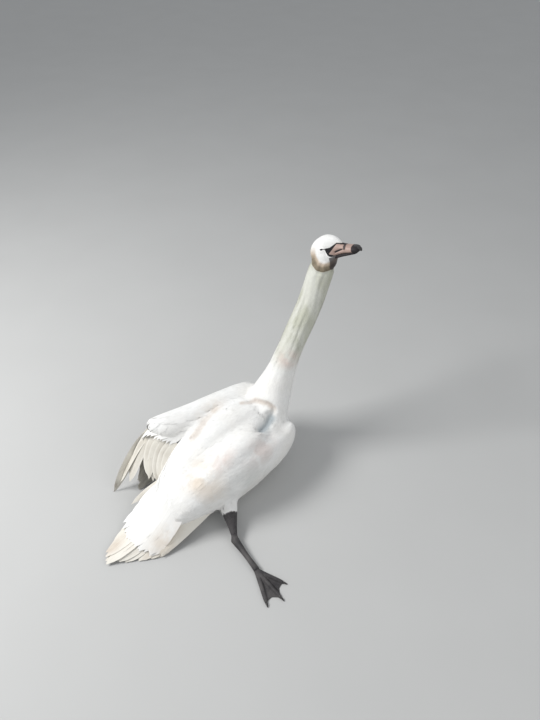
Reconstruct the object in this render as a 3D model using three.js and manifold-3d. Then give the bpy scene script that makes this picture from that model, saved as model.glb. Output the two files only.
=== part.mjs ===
// A mute swan sitting on the ground: belly down, neck stretched up and forward,
// head turned to its right, right wing folded, left wing drooping beside the rump
// and the right leg stretched out sideways on the floor.
//
// Millimetres. +X is forward, +Y is the bird's left, +Z is up. The origin is the
// middle of the flat that the belly rests on, and z = 0 is the floor.
import * as THREE from "three";
import { mergeVertices } from "three/addons/utils/BufferGeometryUtils.js";
import Module from "manifold-3d";

const wasm = await Module();
wasm.setup();

// ---- Driving dimensions ---------------------------------------------------
const GAP = 0.4; // clearance between neighbouring pieces
const FLOOR = 0; // height of the floor
const BACK_Z = 236; // top of the trunk under the scapulars
const HALF_WIDTH = 128; // half the trunk's greatest width
const CHEST_X = 288; // front of the breast
const RUMP_X = -262; // end of the trunk above the tail
const NECK_R = 39; // radius of the neck behind the head
const EYE_R = 6; // radius of an eyeball
const EYE_Y = 26.5; // an eyeball's centre from the head's middle plane
const EYE_Z = 7; // and above the head's own place
const BILL_TIP = 106; // bill's tip ahead of the eyes
const VANE = 2.6; // thickness of a flight feather's vane
const TAIL_TIP = -420; // end of the longest tail feather
const TARSUS = 112; // ankle to toe base
const TOE = 112; // toe base to the tip of the middle toe

// Head's place: the point between the eyes, and its turn, tilt and lean in degrees
const HEAD_AT = [463, -5, 718];
const HEAD_TURN = -70;
const HEAD_TILT = 22;
const HEAD_LEAN = -8;

// ---- Finishes -------------------------------------------------------------
const finish = (color, roughness, metalness = 0) =>
  new THREE.MeshStandardMaterial({ color, roughness, metalness });
const PLUMAGE = finish(0xf1eee8, 0.85);
const FLIGHT = finish(0xe9e3d9, 0.75);
const HORN = finish(0xb98f8c, 0.5);
const BLACK_HORN = finish(0x1d1a1b, 0.45);
const EYE = finish(0x1a100b, 0.08);
const SCALED = finish(0x3b3838, 0.6);
const CLAW = finish(0x171414, 0.4);

// ---- Solids ---------------------------------------------------------------
const V = (x, y, z) => new THREE.Vector3(x, y, z);

// Closed mesh from rings of equally many points, each ring counter-clockwise
// about the direction of travel, with a fan over each end.
function ringMesh(rings) {
  const n = rings[0].length;
  const points = rings.flat();
  const mean = (ring) => {
    const sum = V(0, 0, 0);
    for (const p of ring) sum.add(p);
    return sum.divideScalar(n);
  };
  const first = points.length;
  points.push(mean(rings[0]), mean(rings[rings.length - 1]));
  const faces = [];
  for (let i = 0; i + 1 < rings.length; i++)
    for (let k = 0; k < n; k++) {
      const a = i * n + k;
      const b = i * n + ((k + 1) % n);
      faces.push(a, b, b + n, a, b + n, a + n);
    }
  const last = (rings.length - 1) * n;
  for (let k = 0; k < n; k++) {
    const next = (k + 1) % n;
    faces.push(first, next, k, first + 1, last + k, last + next);
  }
  const geometry = new THREE.BufferGeometry().setFromPoints(points);
  geometry.setIndex(faces);
  return geometry;
}

// Catmull-Rom through the rows of a number table, at t from 0 to 1.
function tableAt(rows, t) {
  const at = t * (rows.length - 1);
  const i = Math.min(Math.floor(at), rows.length - 2);
  const f = at - i;
  const row = (k) => rows[Math.max(0, Math.min(rows.length - 1, k))];
  return rows[i].map((_, c) => {
    const [a, b, d, e] = [row(i - 1)[c], row(i)[c], row(i + 1)[c], row(i + 2)[c]];
    const m1 = (d - a) / 2;
    const m2 = (e - b) / 2;
    const f2 = f * f;
    const f3 = f2 * f;
    return (
      b * (2 * f3 - 3 * f2 + 1) + m1 * (f3 - 2 * f2 + f) +
      d * (3 * f2 - 2 * f3) + m2 * (f3 - f2)
    );
  });
}

// Ring of a rounded section: radii towards +side, -side, +up and -up, and the
// superellipse power (2 is an ellipse, higher is squarer).
function ring(centre, side, up, [left, right, above, below], power, count) {
  const points = [];
  for (let k = 0; k < count; k++) {
    const angle = (2 * Math.PI * k) / count;
    const c = Math.cos(angle);
    const s = Math.sin(angle);
    const x = Math.sign(c) * Math.abs(c) ** (2 / power) * (c > 0 ? left : right);
    const y = Math.sign(s) * Math.abs(s) ** (2 / power) * (s > 0 ? above : below);
    points.push(centre.clone().addScaledVector(side, x).addScaledVector(up, y));
  }
  return points;
}

// Body along X. Rows: x, y, z of the centre, radii left, right, up, down, power.
function hullAlongX(rows, count, steps, grow = 0) {
  const rings = [];
  const back = rows[0][0] > rows[rows.length - 1][0] ? -1 : 1;
  for (let i = 0; i <= steps; i++) {
    const row = tableAt(rows, i / steps);
    const end = i === 0 ? -grow : i === steps ? grow : 0;
    const radii = row.slice(3, 7).map((r) => Math.max(r, 1) + grow);
    const at = V(row[0] + back * end, row[1], row[2]);
    rings.push(ring(at, V(0, 1, 0), V(0, 0, 1), radii, row[7], count));
  }
  if (back < 0) rings.reverse();
  return ringMesh(rings);
}

// Tube along a spine. Rows: x, y, z of the centre, radii left, right, front,
// back. `side` is the fixed direction that the left radius points along.
function hullAlongSpine(rows, side, count, t0, t1, steps, grow = 0, power = 2) {
  const rings = [];
  for (let i = 0; i <= steps; i++) {
    const t = t0 + ((t1 - t0) * i) / steps;
    const row = tableAt(rows, t);
    const h = 1e-3;
    const a = tableAt(rows, Math.max(0, t - h));
    const b = tableAt(rows, Math.min(1, t + h));
    const along = V(b[0] - a[0], b[1] - a[1], b[2] - a[2]).normalize();
    const across = side.clone().addScaledVector(along, -side.dot(along)).normalize();
    const front = along.clone().cross(across);
    const end = i === 0 ? -grow : i === steps ? grow : 0;
    const at = V(row[0], row[1], row[2]).addScaledVector(along, end);
    const radii = row.slice(3, 7).map((r) => r + grow);
    rings.push(ring(at, across, front, radii, power, count));
  }
  return ringMesh(rings);
}

// Flight feather: a closed vane from `root` through `bend` to `tip`.
// `face` is the direction its upper side looks; `sharp` narrows its tip.
function vane(root, bend, tip, face, width, sharp, steps, grow = 0) {
  const curve = new THREE.QuadraticBezierCurve3(root, bend, tip);
  const rings = [];
  for (let i = 0; i <= steps; i++) {
    const t = i / steps;
    const at = curve.getPoint(t);
    const along = curve.getTangent(t);
    const across = face.clone().cross(along).normalize();
    const up = along.clone().cross(across).normalize();
    const body = 0.62 + 0.38 * Math.sin(Math.min(1, t / 0.55) * Math.PI * 0.5);
    const tipness = Math.max(0, (t - 0.6) / 0.4);
    const narrowing = Math.max(0.12, 1 - tipness ** (3.2 - 1.6 * sharp));
    const half = (width / 2) * body * narrowing + grow;
    const thick = VANE + 2 * grow;
    const end = i === 0 ? -grow : i === steps ? grow : 0;
    at.addScaledVector(along, end);
    const lift = (x, z) =>
      at.clone().addScaledVector(across, x).addScaledVector(up, z);
    rings.push([
      lift(half, thick / 2),
      lift(-half, thick / 2),
      lift(-half, -thick / 2),
      lift(half, -thick / 2),
    ]);
  }
  return ringMesh(rings);
}

// ---- Joining and cutting --------------------------------------------------
function solid(geometry) {
  const bare = geometry.clone();
  for (const name of Object.keys(bare.attributes))
    if (name !== "position") bare.deleteAttribute(name);
  const merged = mergeVertices(bare, 1e-4);
  return new wasm.Manifold(
    new wasm.Mesh({
      numProp: 3,
      vertProperties: new Float32Array(merged.attributes.position.array),
      triVerts: new Uint32Array(merged.index.array),
    }),
  );
}

const joined = (solids) => solids.reduce((whole, next) => whole.add(next));
const cutBy = (body, cutters) => cutters.reduce((left, c) => left.subtract(c), body);

// A solid's largest connected part, so that a cut leaves no crumbs.
const mainPart = (body) =>
  body.decompose().reduce((a, b) => (b.volume() > a.volume() ? b : a));

function toGeometry(body) {
  const mesh = body.getMesh();
  const geometry = new THREE.BufferGeometry();
  const step = mesh.numProp;
  const flat = new Float32Array((mesh.vertProperties.length / step) * 3);
  for (let i = 0; i < flat.length / 3; i++)
    for (let k = 0; k < 3; k++) flat[3 * i + k] = mesh.vertProperties[step * i + k];
  geometry.setAttribute("position", new THREE.BufferAttribute(flat, 3));
  geometry.setIndex(Array.from(mesh.triVerts));
  return geometry;
}

// Everything under the floor goes: a box as wide as the bird, top face at z = 0.
const under = solid(new THREE.BoxGeometry(1600, 1600, 200).translate(0, 0, -100 + FLOOR));
const onFloor = (body) => body.subtract(under);

const swan = new THREE.Group();
function addNode(parent, name, geometry, material) {
  geometry.computeVertexNormals();
  const mesh = new THREE.Mesh(geometry, material.clone());
  mesh.name = name;
  parent.add(mesh);
  return mesh;
}
const addSolid = (name, body, material) =>
  addNode(swan, name, toGeometry(mainPart(body)), material);

// ---- Trunk ----------------------------------------------------------------
const W = HALF_WIDTH;
const trunkRows = [
  // x, y, z, left, right, up, down, power
  [CHEST_X, 0, 118, 8, 8, 10, 10, 2],
  [CHEST_X - 6, 0, 122, 38, 38, 44, 42, 2],
  [CHEST_X - 24, 0, 126, 74, 74, 82, 74, 2.05],
  [CHEST_X - 56, 0, 124, 100, 100, 104, 104, 2.1],
  [180, 0, 118, W - 12, W - 12, BACK_Z - 120, 122, 2.2],
  [110, 0, 112, W - 2, W - 2, BACK_Z - 112, 124, 2.3],
  [40, 0, 108, W, W, BACK_Z - 108, 122, 2.35],
  [-30, 0, 104, W - 4, W - 4, 122, 116, 2.3],
  [-100, 0, 98, W - 18, W - 18, 102, 103, 2.2],
  [-165, 0, 86, W - 40, W - 40, 78, 84, 2.1],
  [-220, 0, 70, W - 66, W - 66, 50, 52, 2.05],
  [-250, 0, 60, 38, 40, 28, 30, 2],
  [RUMP_X, 0, 58, 14, 14, 10, 10, 2],
];
const trunkAt = (grow) => solid(hullAlongX(trunkRows, 18, 15, grow));
const trunk = onFloor(trunkAt(0));
const aroundTrunk = trunkAt(GAP);
addSolid("trunk", trunk, PLUMAGE);

// ---- Neck -----------------------------------------------------------------
const R = NECK_R;
const neckRows = [
  // x, y, z, left, right, front, back
  [190, 0, 128, 84, 78, 66, 60],
  [232, 6, 204, 84, 70, 60, 66],
  [266, 7, 268, 66, 55, 52, 60],
  [289, 3, 330, R + 8, R + 7, R + 6, R + 8],
  [312, -1, 386, R + 2, R + 2, R + 2, R + 2],
  [338, -3, 436, R, R, R, R],
  [364, -4, 480, R, R, R, R],
  [389, -5, 522, R, R, R, R],
  [412, -5, 566, R, R, R, R],
  [430, -5, 612, R - 2, R + 1, R + 1, R - 1],
  [445, -5, 650, R - 4, R + 2, R + 2, R - 2],
  [452, -5, 682, R - 9, R - 1, R - 3, R - 7],
];
const LEFT = V(0, 1, 0);
const neckPiece = (t0, t1, steps, grow = 0) =>
  solid(hullAlongSpine(neckRows, LEFT, 16, t0, t1, steps, grow));
const CUT = GAP / 700; // the clearance as a share of the spine's length
const neckParts = [0, 0.4, 0.66, 1];

// ---- Head -----------------------------------------------------------------
// Local frame: +X along the bill, +Y the head's left, +Z its crown.
const headRows = [
  // x, y, z, left, right, up, down, power
  [-50, 0, -10, 8, 8, 8, 10, 2],
  [-45, 0, -12, 20, 20, 23, 28, 2],
  [-33, 0, -14, 28, 28, 38, 43, 2.05],
  [-16, 0, -14, 33, 33, 48, 50, 2.1],
  [2, 0, -14, 33, 33, 53, 49, 2.15],
  [14, 0, -12, 29, 29, 51, 42, 2.2],
  [24, 0, -6, 23, 23, 42, 34, 2.2],
  [33, 0, 2, 18, 18, 31, 28, 2.1],
  [44, 0, 6, 12, 12, 19, 20, 2],
  [56, 0, 6, 4, 4, 6, 10, 2],
];
const billRows = [
  [8, 0, -8, 20, 20, 26, 17, 2.3],
  [23, 0, -8, 20, 20, 27, 16, 2.3],
  [37, 0, -7.5, 19.5, 19.5, 24, 15, 2.3],
  [51, 0, -8.5, 18.5, 18.5, 18, 12, 2.3],
  [66, 0, -10, 18.5, 18.5, 14, 10.5, 2.4],
  [81, 0, -11.5, 19.5, 19.5, 11, 9, 2.5],
  [93, 0, -12.5, 20, 20, 9.5, 8, 2.5],
  [101, 0, -14.5, 16, 16, 8, 7, 2.3],
  [BILL_TIP, 0, -17, 8, 8, 4, 4, 2],
];
const lowerRows = [
  [8, 0, -30, 12, 12, 9, 8, 2.2],
  [23, 0, -28, 13.5, 13.5, 9, 6.5, 2.3],
  [45, 0, -25.5, 13.5, 13.5, 8, 5, 2.4],
  [71, 0, -23, 14.5, 14.5, 7, 5, 2.4],
  [88, 0, -22, 14.5, 14.5, 6.5, 4.5, 2.4],
  [98, 0, -22, 10, 10, 5, 3.5, 2.2],
];
const nailRows = [
  [84, 0, -4, 5, 5, 2, 4, 2.2],
  [91, 0, -4.8, 10, 10, 2.6, 5, 2.2],
  [99, 0, -8, 10.5, 10.5, 3, 6, 2.2],
  [106, 0, -13.5, 8.5, 8.5, 3, 6, 2.2],
  [BILL_TIP + 3.5, 0, -18.5, 5, 5, 2, 4, 2],
];
const headSolid = (grow) => solid(hullAlongX(headRows, 16, 13, grow));
const billSolid = (grow) => solid(hullAlongX(billRows, 14, 9, grow));
const nailSolid = (grow) => solid(hullAlongX(nailRows, 8, 5, grow));
const eyeAt = (side, r) =>
  solid(new THREE.SphereGeometry(r, 10, 7).translate(0, side * EYE_Y, EYE_Z));

const headGroup = new THREE.Group();
headGroup.position.set(...HEAD_AT);
const turn = THREE.MathUtils.degToRad(HEAD_TURN);
const tilt = THREE.MathUtils.degToRad(HEAD_TILT);
const lean = THREE.MathUtils.degToRad(HEAD_LEAN);
headGroup.rotation.set(lean, -tilt, turn, "ZYX");
headGroup.updateMatrix();
swan.add(headGroup);
const inBody = (body) =>
  solid(toGeometry(body).applyMatrix4(headGroup.matrix));
const addHead = (name, body, material) =>
  addNode(headGroup, name, toGeometry(mainPart(body)), material);

const sockets = [eyeAt(1, EYE_R + GAP), eyeAt(-1, EYE_R + GAP)];
const nail = cutBy(nailSolid(0), []);
const bill = cutBy(billSolid(0), [headSolid(GAP), nailSolid(GAP)]);
const billLower = cutBy(solid(hullAlongX(lowerRows, 10, 6)), [
  headSolid(GAP),
  billSolid(GAP),
  nailSolid(GAP),
]);
addHead("head", cutBy(headSolid(0), sockets), PLUMAGE);
addHead("bill_upper", bill, HORN);
addHead("bill_lower", billLower, HORN);
addHead("bill_nail", nail, BLACK_HORN);
addHead("eye_left", eyeAt(1, EYE_R), EYE);
addHead("eye_right", eyeAt(-1, EYE_R), EYE);

const headInBody = inBody(headSolid(GAP));
addSolid("neck_lower", cutBy(neckPiece(0, neckParts[1], 8), [aroundTrunk]), PLUMAGE);
addSolid("neck_middle", neckPiece(neckParts[1] + CUT, neckParts[2], 5), PLUMAGE);
addSolid(
  "neck_upper",
  cutBy(neckPiece(neckParts[2] + CUT, neckParts[3], 6), [headInBody]),
  PLUMAGE,
);
const neckGrown = neckPiece(0, neckParts[1], 8, GAP);

// ---- Wings: the feathered arm with its coverts ----------------------------
// Rows: x, y, z, left, right, up, down, power
const wingRightRows = [
  [262, -84, 168, 8, 8, 10, 12, 2],
  [252, -90, 162, 20, 20, 30, 34, 2],
  [226, -96, 148, 26, 28, 44, 54, 2.1],
  [170, -102, 138, 30, 34, 56, 66, 2.2],
  [100, -104, 140, 36, 36, 66, 74, 2.2],
  [20, -100, 138, 42, 38, 72, 74, 2.2],
  [-60, -88, 128, 44, 38, 66, 66, 2.2],
  [-130, -72, 108, 40, 34, 50, 52, 2.2],
  [-190, -58, 86, 30, 28, 32, 36, 2.1],
  [-225, -52, 72, 14, 14, 14, 16, 2],
];
const wingLeftRows = [
  [270, 92, 196, 8, 8, 10, 12, 2],
  [258, 98, 194, 26, 26, 40, 44, 2],
  [226, 104, 192, 38, 36, 58, 60, 2.1],
  [160, 110, 192, 46, 40, 66, 70, 2.2],
  [90, 118, 198, 50, 46, 66, 74, 2.2],
  [20, 128, 208, 50, 52, 60, 66, 2.1],
  [-40, 140, 220, 46, 58, 54, 52, 2.1],
  [-86, 152, 234, 36, 54, 46, 42, 2],
  [-114, 162, 246, 24, 38, 34, 28, 2],
  [-130, 170, 252, 8, 12, 12, 10, 2],
];
const wingRight = (grow) => solid(hullAlongX(wingRightRows, 12, 11, grow));
const wingLeft = (grow) => solid(hullAlongX(wingLeftRows, 12, 11, grow));
const wingRightGrown = wingRight(GAP);
const wingLeftGrown = wingLeft(GAP);
addSolid("wing_right", cutBy(wingRight(0), [aroundTrunk, neckGrown]), PLUMAGE);
addSolid("wing_left", cutBy(wingLeft(0), [aroundTrunk, neckGrown]), PLUMAGE);

// ---- Scapulars: the feather humps over each shoulder ----------------------
// The left one also roofs the middle of the back; the right one starts further
// back, which leaves the hollow in front of it behind the folded wrist.
const scapularLeftRows = [
  [214, 20, 208, 10, 10, 10, 10, 2],
  [202, 22, 206, 40, 34, 36, 20, 2],
  [164, 30, 204, 64, 56, 50, 24, 2.2],
  [100, 36, 202, 74, 62, 58, 26, 2.3],
  [30, 38, 194, 78, 64, 64, 26, 2.3],
  [-40, 38, 180, 76, 62, 62, 26, 2.3],
  [-110, 34, 152, 64, 56, 54, 26, 2.2],
  [-180, 26, 118, 46, 44, 42, 24, 2.1],
  [-232, 18, 84, 30, 30, 26, 20, 2],
  [-252, 16, 72, 8, 8, 8, 8, 2],
];
const scapularRightRows = [
  [150, -56, 200, 10, 10, 10, 10, 2],
  [138, -58, 198, 28, 28, 32, 20, 2],
  [100, -60, 194, 44, 44, 50, 24, 2.1],
  [30, -60, 186, 54, 52, 58, 26, 2.2],
  [-40, -58, 170, 54, 50, 58, 26, 2.2],
  [-110, -52, 142, 48, 44, 52, 26, 2.1],
  [-170, -44, 112, 38, 34, 40, 24, 2],
  [-220, -38, 84, 12, 12, 14, 10, 2],
];
const scapular = (rows, grow) => solid(hullAlongX(rows, 12, 9, grow));
const scapularRightGrown = scapular(scapularRightRows, GAP);
const scapularLeftGrown = scapular(scapularLeftRows, GAP);
const scapularRight = cutBy(scapular(scapularRightRows, 0), [
  aroundTrunk,
  wingRightGrown,
  neckGrown,
  scapularLeftGrown,
]);
const scapularLeft = cutBy(scapular(scapularLeftRows, 0), [
  aroundTrunk,
  wingLeftGrown,
  neckGrown,
]);
addSolid("scapulars_right", scapularRight, PLUMAGE);
addSolid("scapulars_left", scapularLeft, PLUMAGE);
const bodyCutters = [
  aroundTrunk,
  wingRightGrown,
  wingLeftGrown,
  scapularRightGrown,
  scapularLeftGrown,
];

// ---- Tail -----------------------------------------------------------------
// A low wedge of long feathers, the middle ones longest.
function tailFan(grow) {
  const vanes = [];
  for (let i = 0; i < 7; i++) {
    const s = i / 3 - 1; // -1 right edge .. 1 left edge
    const reach = TAIL_TIP + (s < 0 ? 112 * (-s) ** 1.1 : 92 * s ** 1.9);
    const root = V(-200, s * 50, 62 - 14 * Math.abs(s));
    const tip = V(reach, 12 + s * (s > 0 ? 60 : 80), 5);
    const bend = V((root.x + tip.x) / 2, s * 82, 36 - 8 * Math.abs(s));
    vanes.push(solid(vane(root, bend, tip, V(0, s * 0.25, 1), 62, 0.4, 4, grow)));
  }
  return joined(vanes);
}
const tailGrown = tailFan(GAP);
addSolid("tail", onFloor(cutBy(tailFan(0), bodyCutters)), FLIGHT);

// ---- Flight feathers of the folded right wing -----------------------------
// A fan of vanes from the outer feather to the inner one. Each lies in the
// surface that the fan sweeps, tilted a little so that it overlaps the next.
const SHINGLE = 0.12;
const mix = (a, b, t) => a.clone().lerp(b, t);
function fan({ count, root, bend, tip, width, sharp }, grow = 0) {
  const vanes = [];
  for (let i = 0; i < count; i++) {
    const t = i / (count - 1);
    const at = ([a, b, power = 1]) => mix(a, b, t ** power);
    const [from, via, to] = [at(root), at(bend), at(tip)];
    const inward = bend[1].clone().sub(bend[0]).normalize();
    const along = to.clone().sub(from).normalize();
    const face = along.clone().cross(inward).normalize();
    if (face.z < 0) face.negate();
    face.addScaledVector(inward, SHINGLE);
    const wide = width[0] + (width[1] - width[0]) * t;
    vanes.push(solid(vane(from, via, to, face, wide, sharp, 3, grow)));
  }
  return joined(vanes);
}
const primariesRight = {
  count: 4,
  root: [V(-60, -96, 84), V(-70, -86, 130)],
  bend: [V(-170, -76, 66), V(-178, -64, 104)],
  tip: [V(-292, -74, 20), V(-262, -48, 58)],
  width: [48, 52],
  sharp: 0.8,
};
const secondariesLeft = {
  count: 6,
  root: [V(-84, 176, 236), V(-92, 108, 214)],
  bend: [V(-176, 206, 186), V(-160, 100, 184)],
  tip: [V(-266, 224, 4), V(-172, 70, 108), 0.75],
  width: [46, 58],
  sharp: 0.75,
};
const primariesLeft = {
  count: 6,
  root: [V(130, 134, 84), V(-40, 168, 176)],
  bend: [V(-60, 178, 42), V(-110, 196, 150)],
  tip: [V(-250, 180, 4), V(-214, 208, 70)],
  width: [52, 60],
  sharp: 0.8,
};

// ---- Legs -----------------------------------------------------------------
// A leg: feathered thigh, bare shank with a thick ankle, webbed foot, claws.
function leg(name, hip, ankle, toeBase, toeDirection, spread, side) {
  const thighRows = [
    [hip.x, hip.y, hip.z, 34, 34, 30, 30],
    [(2 * hip.x + ankle.x) / 3, (2 * hip.y + ankle.y) / 3, (2 * hip.z + ankle.z) / 3, 27, 27, 25, 25],
    [(hip.x + 2 * ankle.x) / 3, (hip.y + 2 * ankle.y) / 3, (hip.z + 2 * ankle.z) / 3, 17, 17, 17, 17],
    [ankle.x, ankle.y, ankle.z + 2, 12, 12, 12, 12],
  ];
  const knee = mix(hip, ankle, 0.84);
  const kneeRows = [
    [knee.x, knee.y, knee.z, 9, 9, 9, 9],
    [ankle.x, ankle.y, ankle.z, 12, 12, 12, 12],
  ];
  const tarsusRows = [
    [0, 12.5, 12],
    [0.2, 11, 10.5],
    [0.45, 8.8, 8.4],
    [0.75, 8.4, 8],
    [1, 10, 8.5],
  ].map(([t, across, high]) => {
    const at = mix(ankle, toeBase, t);
    return [at.x, at.y, at.z, across, across, high, high];
  });
  const up = V(0, 0, 1);
  const wide = up.clone().cross(toeDirection).normalize();
  const legSolid = (grow) =>
    joined([
      solid(hullAlongSpine(kneeRows, wide, 8, 0, 1, 2, grow)),
      solid(new THREE.SphereGeometry(13.5 + grow, 8, 5).translate(ankle.x, ankle.y, ankle.z)),
      solid(hullAlongSpine(tarsusRows, wide, 8, 0, 1, 6, grow)),
    ]);
  const thighSolid = (grow) =>
    solid(hullAlongSpine(thighRows, wide, 12, 0, 1, 5, grow));
  const thigh = thighSolid(0);
  const thighCut = onFloor(cutBy(thigh, [...bodyCutters, legSolid(GAP)]));
  addSolid(`thigh_${name}`, thighCut, PLUMAGE);
  addSolid(`leg_${name}`, onFloor(cutBy(legSolid(0), bodyCutters)), SCALED);

  // Toes fan out from the toe base, flat on the floor, with a web between.
  const toes = [-1, 0, 1].map((k) => {
    const angle = k * spread;
    const along = toeDirection.clone().applyAxisAngle(up, angle);
    const length = TOE * (k === 0 ? 1 : k === side ? 0.94 : 0.8);
    return { along, length, wide: up.clone().cross(along).normalize() };
  });
  const origin = V(toeBase.x, toeBase.y, 0);
  const toeSolid = ({ along, length, wide: across }, grow) => {
    const rows = [0, 0.2, 0.45, 0.7, 0.9, 1].map((t, i) => {
      const at = origin.clone().addScaledVector(along, length * t);
      const r = [8.5, 7, 6.6, 6, 5.2, 3.6][i];
      const knuckle = i === 2 || i === 4 ? 0.8 : 0;
      return [at.x, at.y, r * 0.62, r + knuckle, r + knuckle, r + knuckle, r];
    });
    return solid(hullAlongSpine(rows, across, 6, 0, 1, 4, grow));
  };
  const outline = [];
  outline.push(origin.clone().addScaledVector(toeDirection, -4));
  for (let i = 0; i < toes.length; i++) {
    const tip = origin.clone().addScaledVector(toes[i].along, toes[i].length * 0.95);
    outline.push(tip);
    if (i + 1 === toes.length) continue;
    const next = origin.clone().addScaledVector(toes[i + 1].along, toes[i + 1].length * 0.95);
    outline.push(mix(mix(tip, next, 0.5), origin, 0.09));
  }
  const shape = new THREE.Shape(outline.map((p) => new THREE.Vector2(p.x, p.y)));
  const web = solid(new THREE.ExtrudeGeometry(shape, { depth: 2.2, bevelEnabled: false }));
  const foot = onFloor(joined([...toes.map((toe) => toeSolid(toe, 0)), web]));
  const claws = toes.map(({ along, length, wide: across }) => {
    const rows = [
      [0, 4.2, 3.6],
      [5, 4.6, 3.3],
      [10, 3.6, 2.4],
      [14, 1.9, 0.9],
    ].map(([s, z, r]) => {
      const at = origin.clone().addScaledVector(along, length - 4 + s);
      return [at.x, at.y, z, r, r, r, r];
    });
    return (grow) => solid(hullAlongSpine(rows, across, 6, 0, 1, 3, grow));
  });
  addSolid(
    `foot_${name}`,
    cutBy(foot, [legSolid(GAP), ...claws.map((c) => c(GAP)), ...bodyCutters]),
    SCALED,
  );
  claws.forEach((c, i) => addSolid(`claw_${name}_${i + 1}`, onFloor(c(0)), CLAW));
  return [thighSolid(GAP), legSolid(GAP), solid(toGeometry(foot).translate(0, 0, GAP))];
}
const legRight = leg(
  "right",
  V(-44, -96, 62),
  V(-106, -203, 17),
  V(-122, -203 - TARSUS, 11),
  V(-0.05, -1, 0).normalize(),
  0.42,
  -1,
);
const legLeft = leg(
  "left",
  V(-70, 92, 58),
  V(-158, 122, 17),
  V(-158 + TARSUS, 140, 11),
  V(1, 0.06, 0).normalize(),
  0.34,
  1,
);

// ---- Flight feathers, cut clear of what they lie on -----------------------
const addFan = (name, spec, cutters) =>
  addSolid(name, onFloor(cutBy(fan(spec), [...bodyCutters, ...cutters])), FLIGHT);
addFan("wing_right_primaries", primariesRight, [tailGrown, ...legRight]);
addFan("wing_left_secondaries", secondariesLeft, [tailGrown, ...legLeft]);
addFan("wing_left_primaries", primariesLeft, [fan(secondariesLeft, GAP), ...legLeft]);

export default swan;
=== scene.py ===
"""Looks of a still, life-size mute swan that rests on its belly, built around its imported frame.

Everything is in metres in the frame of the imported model: +X runs to the breast, +Y to the bird's
left, and the floor is z = 0. Sizes are written in millimetres and turned into metres by mm().
"""
import logging
import math
from dataclasses import dataclass, field
from enum import Enum
from typing import Any, Callable, Iterable

import bmesh
import bpy
import numpy as np
from mathutils import Euler, Matrix, Vector
from mathutils.kdtree import KDTree


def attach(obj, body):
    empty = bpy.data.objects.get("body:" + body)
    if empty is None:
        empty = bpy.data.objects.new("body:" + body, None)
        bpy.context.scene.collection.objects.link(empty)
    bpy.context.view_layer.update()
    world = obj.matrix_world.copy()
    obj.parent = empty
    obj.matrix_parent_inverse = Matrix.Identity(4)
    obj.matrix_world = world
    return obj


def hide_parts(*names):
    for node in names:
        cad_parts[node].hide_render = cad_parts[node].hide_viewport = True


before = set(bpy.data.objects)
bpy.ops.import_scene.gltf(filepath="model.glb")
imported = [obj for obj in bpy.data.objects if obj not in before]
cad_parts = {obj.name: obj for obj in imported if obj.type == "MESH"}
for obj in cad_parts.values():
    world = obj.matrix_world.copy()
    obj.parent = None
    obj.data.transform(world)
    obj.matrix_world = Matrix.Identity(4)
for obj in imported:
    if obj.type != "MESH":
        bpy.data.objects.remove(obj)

Point = tuple[float, float, float]
Colour = tuple[float, float, float, float]
LOG = logging.getLogger("swan")
SEED = 20317
BAKE_MAP = "OFBake"
VANE_MAP = "Vane"
TINT = "tint"
BARE = "bare"
PATCH = 0.003
HEAD_AT = (463, -5, 718)
HEAD_TURN, HEAD_TILT, HEAD_LEAN = -70.0, 22.0, -8.0
# On the head's own axes: the eye's height and radius, the swell over each eye, and the middle of the
# hood's outline in x and z.
EYE_HEIGHT, EYE_RADIUS = 7.0, 6.0
EYE_SWELL = (0, 31, 7)
HOOD_AT = (8, -6)
# How many leg scales fit in a metre.
SCALE_DENSITY = 320.0

# Middle line of the neck from the shoulders to the skull: x, y, z.
NECK_SPINE = [
    (190, 0, 128), (232, 6, 204), (266, 7, 268), (289, 3, 330), (312, -1, 386), (338, -3, 436),
    (364, -4, 480), (389, -5, 522), (412, -5, 566), (430, -5, 612), (445, -5, 650), (452, -5, 682),
]


def mm(values: Any) -> np.ndarray:
    """Returns millimetres as an array in metres."""
    return np.asarray(values, float) * 0.001


def unit(vectors: np.ndarray) -> np.ndarray:
    """Returns the vectors at length one."""
    return vectors / np.maximum(np.linalg.norm(vectors, axis=-1, keepdims=True), 1e-9)


def smoothstep(low: float, high: float, value: np.ndarray) -> np.ndarray:
    """Returns 0 below low, 1 above high and an eased ramp between."""
    t = np.clip((value - low) / (high - low), 0, 1)
    return t * t * (3 - 2 * t)


def head_matrix() -> Matrix:
    """Returns the matrix from the head's own axes (bill, left, crown) to the part's frame."""
    turn = Euler([math.radians(a) for a in (HEAD_LEAN, -HEAD_TILT, HEAD_TURN)], "XYZ")
    return Matrix.Translation(Vector(mm(HEAD_AT))) @ turn.to_matrix().to_4x4()


def carried(points: np.ndarray, matrix: Matrix) -> np.ndarray:
    """Moves points by a matrix.

    Args:
        points: Rows of x, y, z.
        matrix: The 4x4 transform.

    Returns:
        The moved rows.
    """
    m = np.array(matrix)
    return points @ m[:3, :3].T + m[:3, 3]


def head_local(points: np.ndarray) -> np.ndarray:
    """Returns points of the part's frame in the head's own axes."""
    return carried(points, head_matrix().inverted())


def hump(points: np.ndarray, centre: Any, radius: float | np.ndarray) -> np.ndarray:
    """Returns a bell round a centre at each point, 1 in its middle, all in one unit."""
    return np.exp(-((np.linalg.norm(points - np.array(centre), axis=1) / radius) ** 2))


def beside(points: np.ndarray, axis: np.ndarray) -> tuple[np.ndarray, np.ndarray, np.ndarray]:
    """Finds where points lie beside an axis.

    Args:
        points: The points.
        axis: Points of the axis in order.

    Returns:
        For each point the number of the nearest place on the axis, its direction and the way out from it.
    """
    offset = points[:, None] - axis[None]
    nearest = np.argmin(np.linalg.norm(offset, axis=2), axis=1)
    return nearest, unit(np.gradient(axis, axis=0))[nearest], offset[np.arange(len(points)), nearest]


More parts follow.
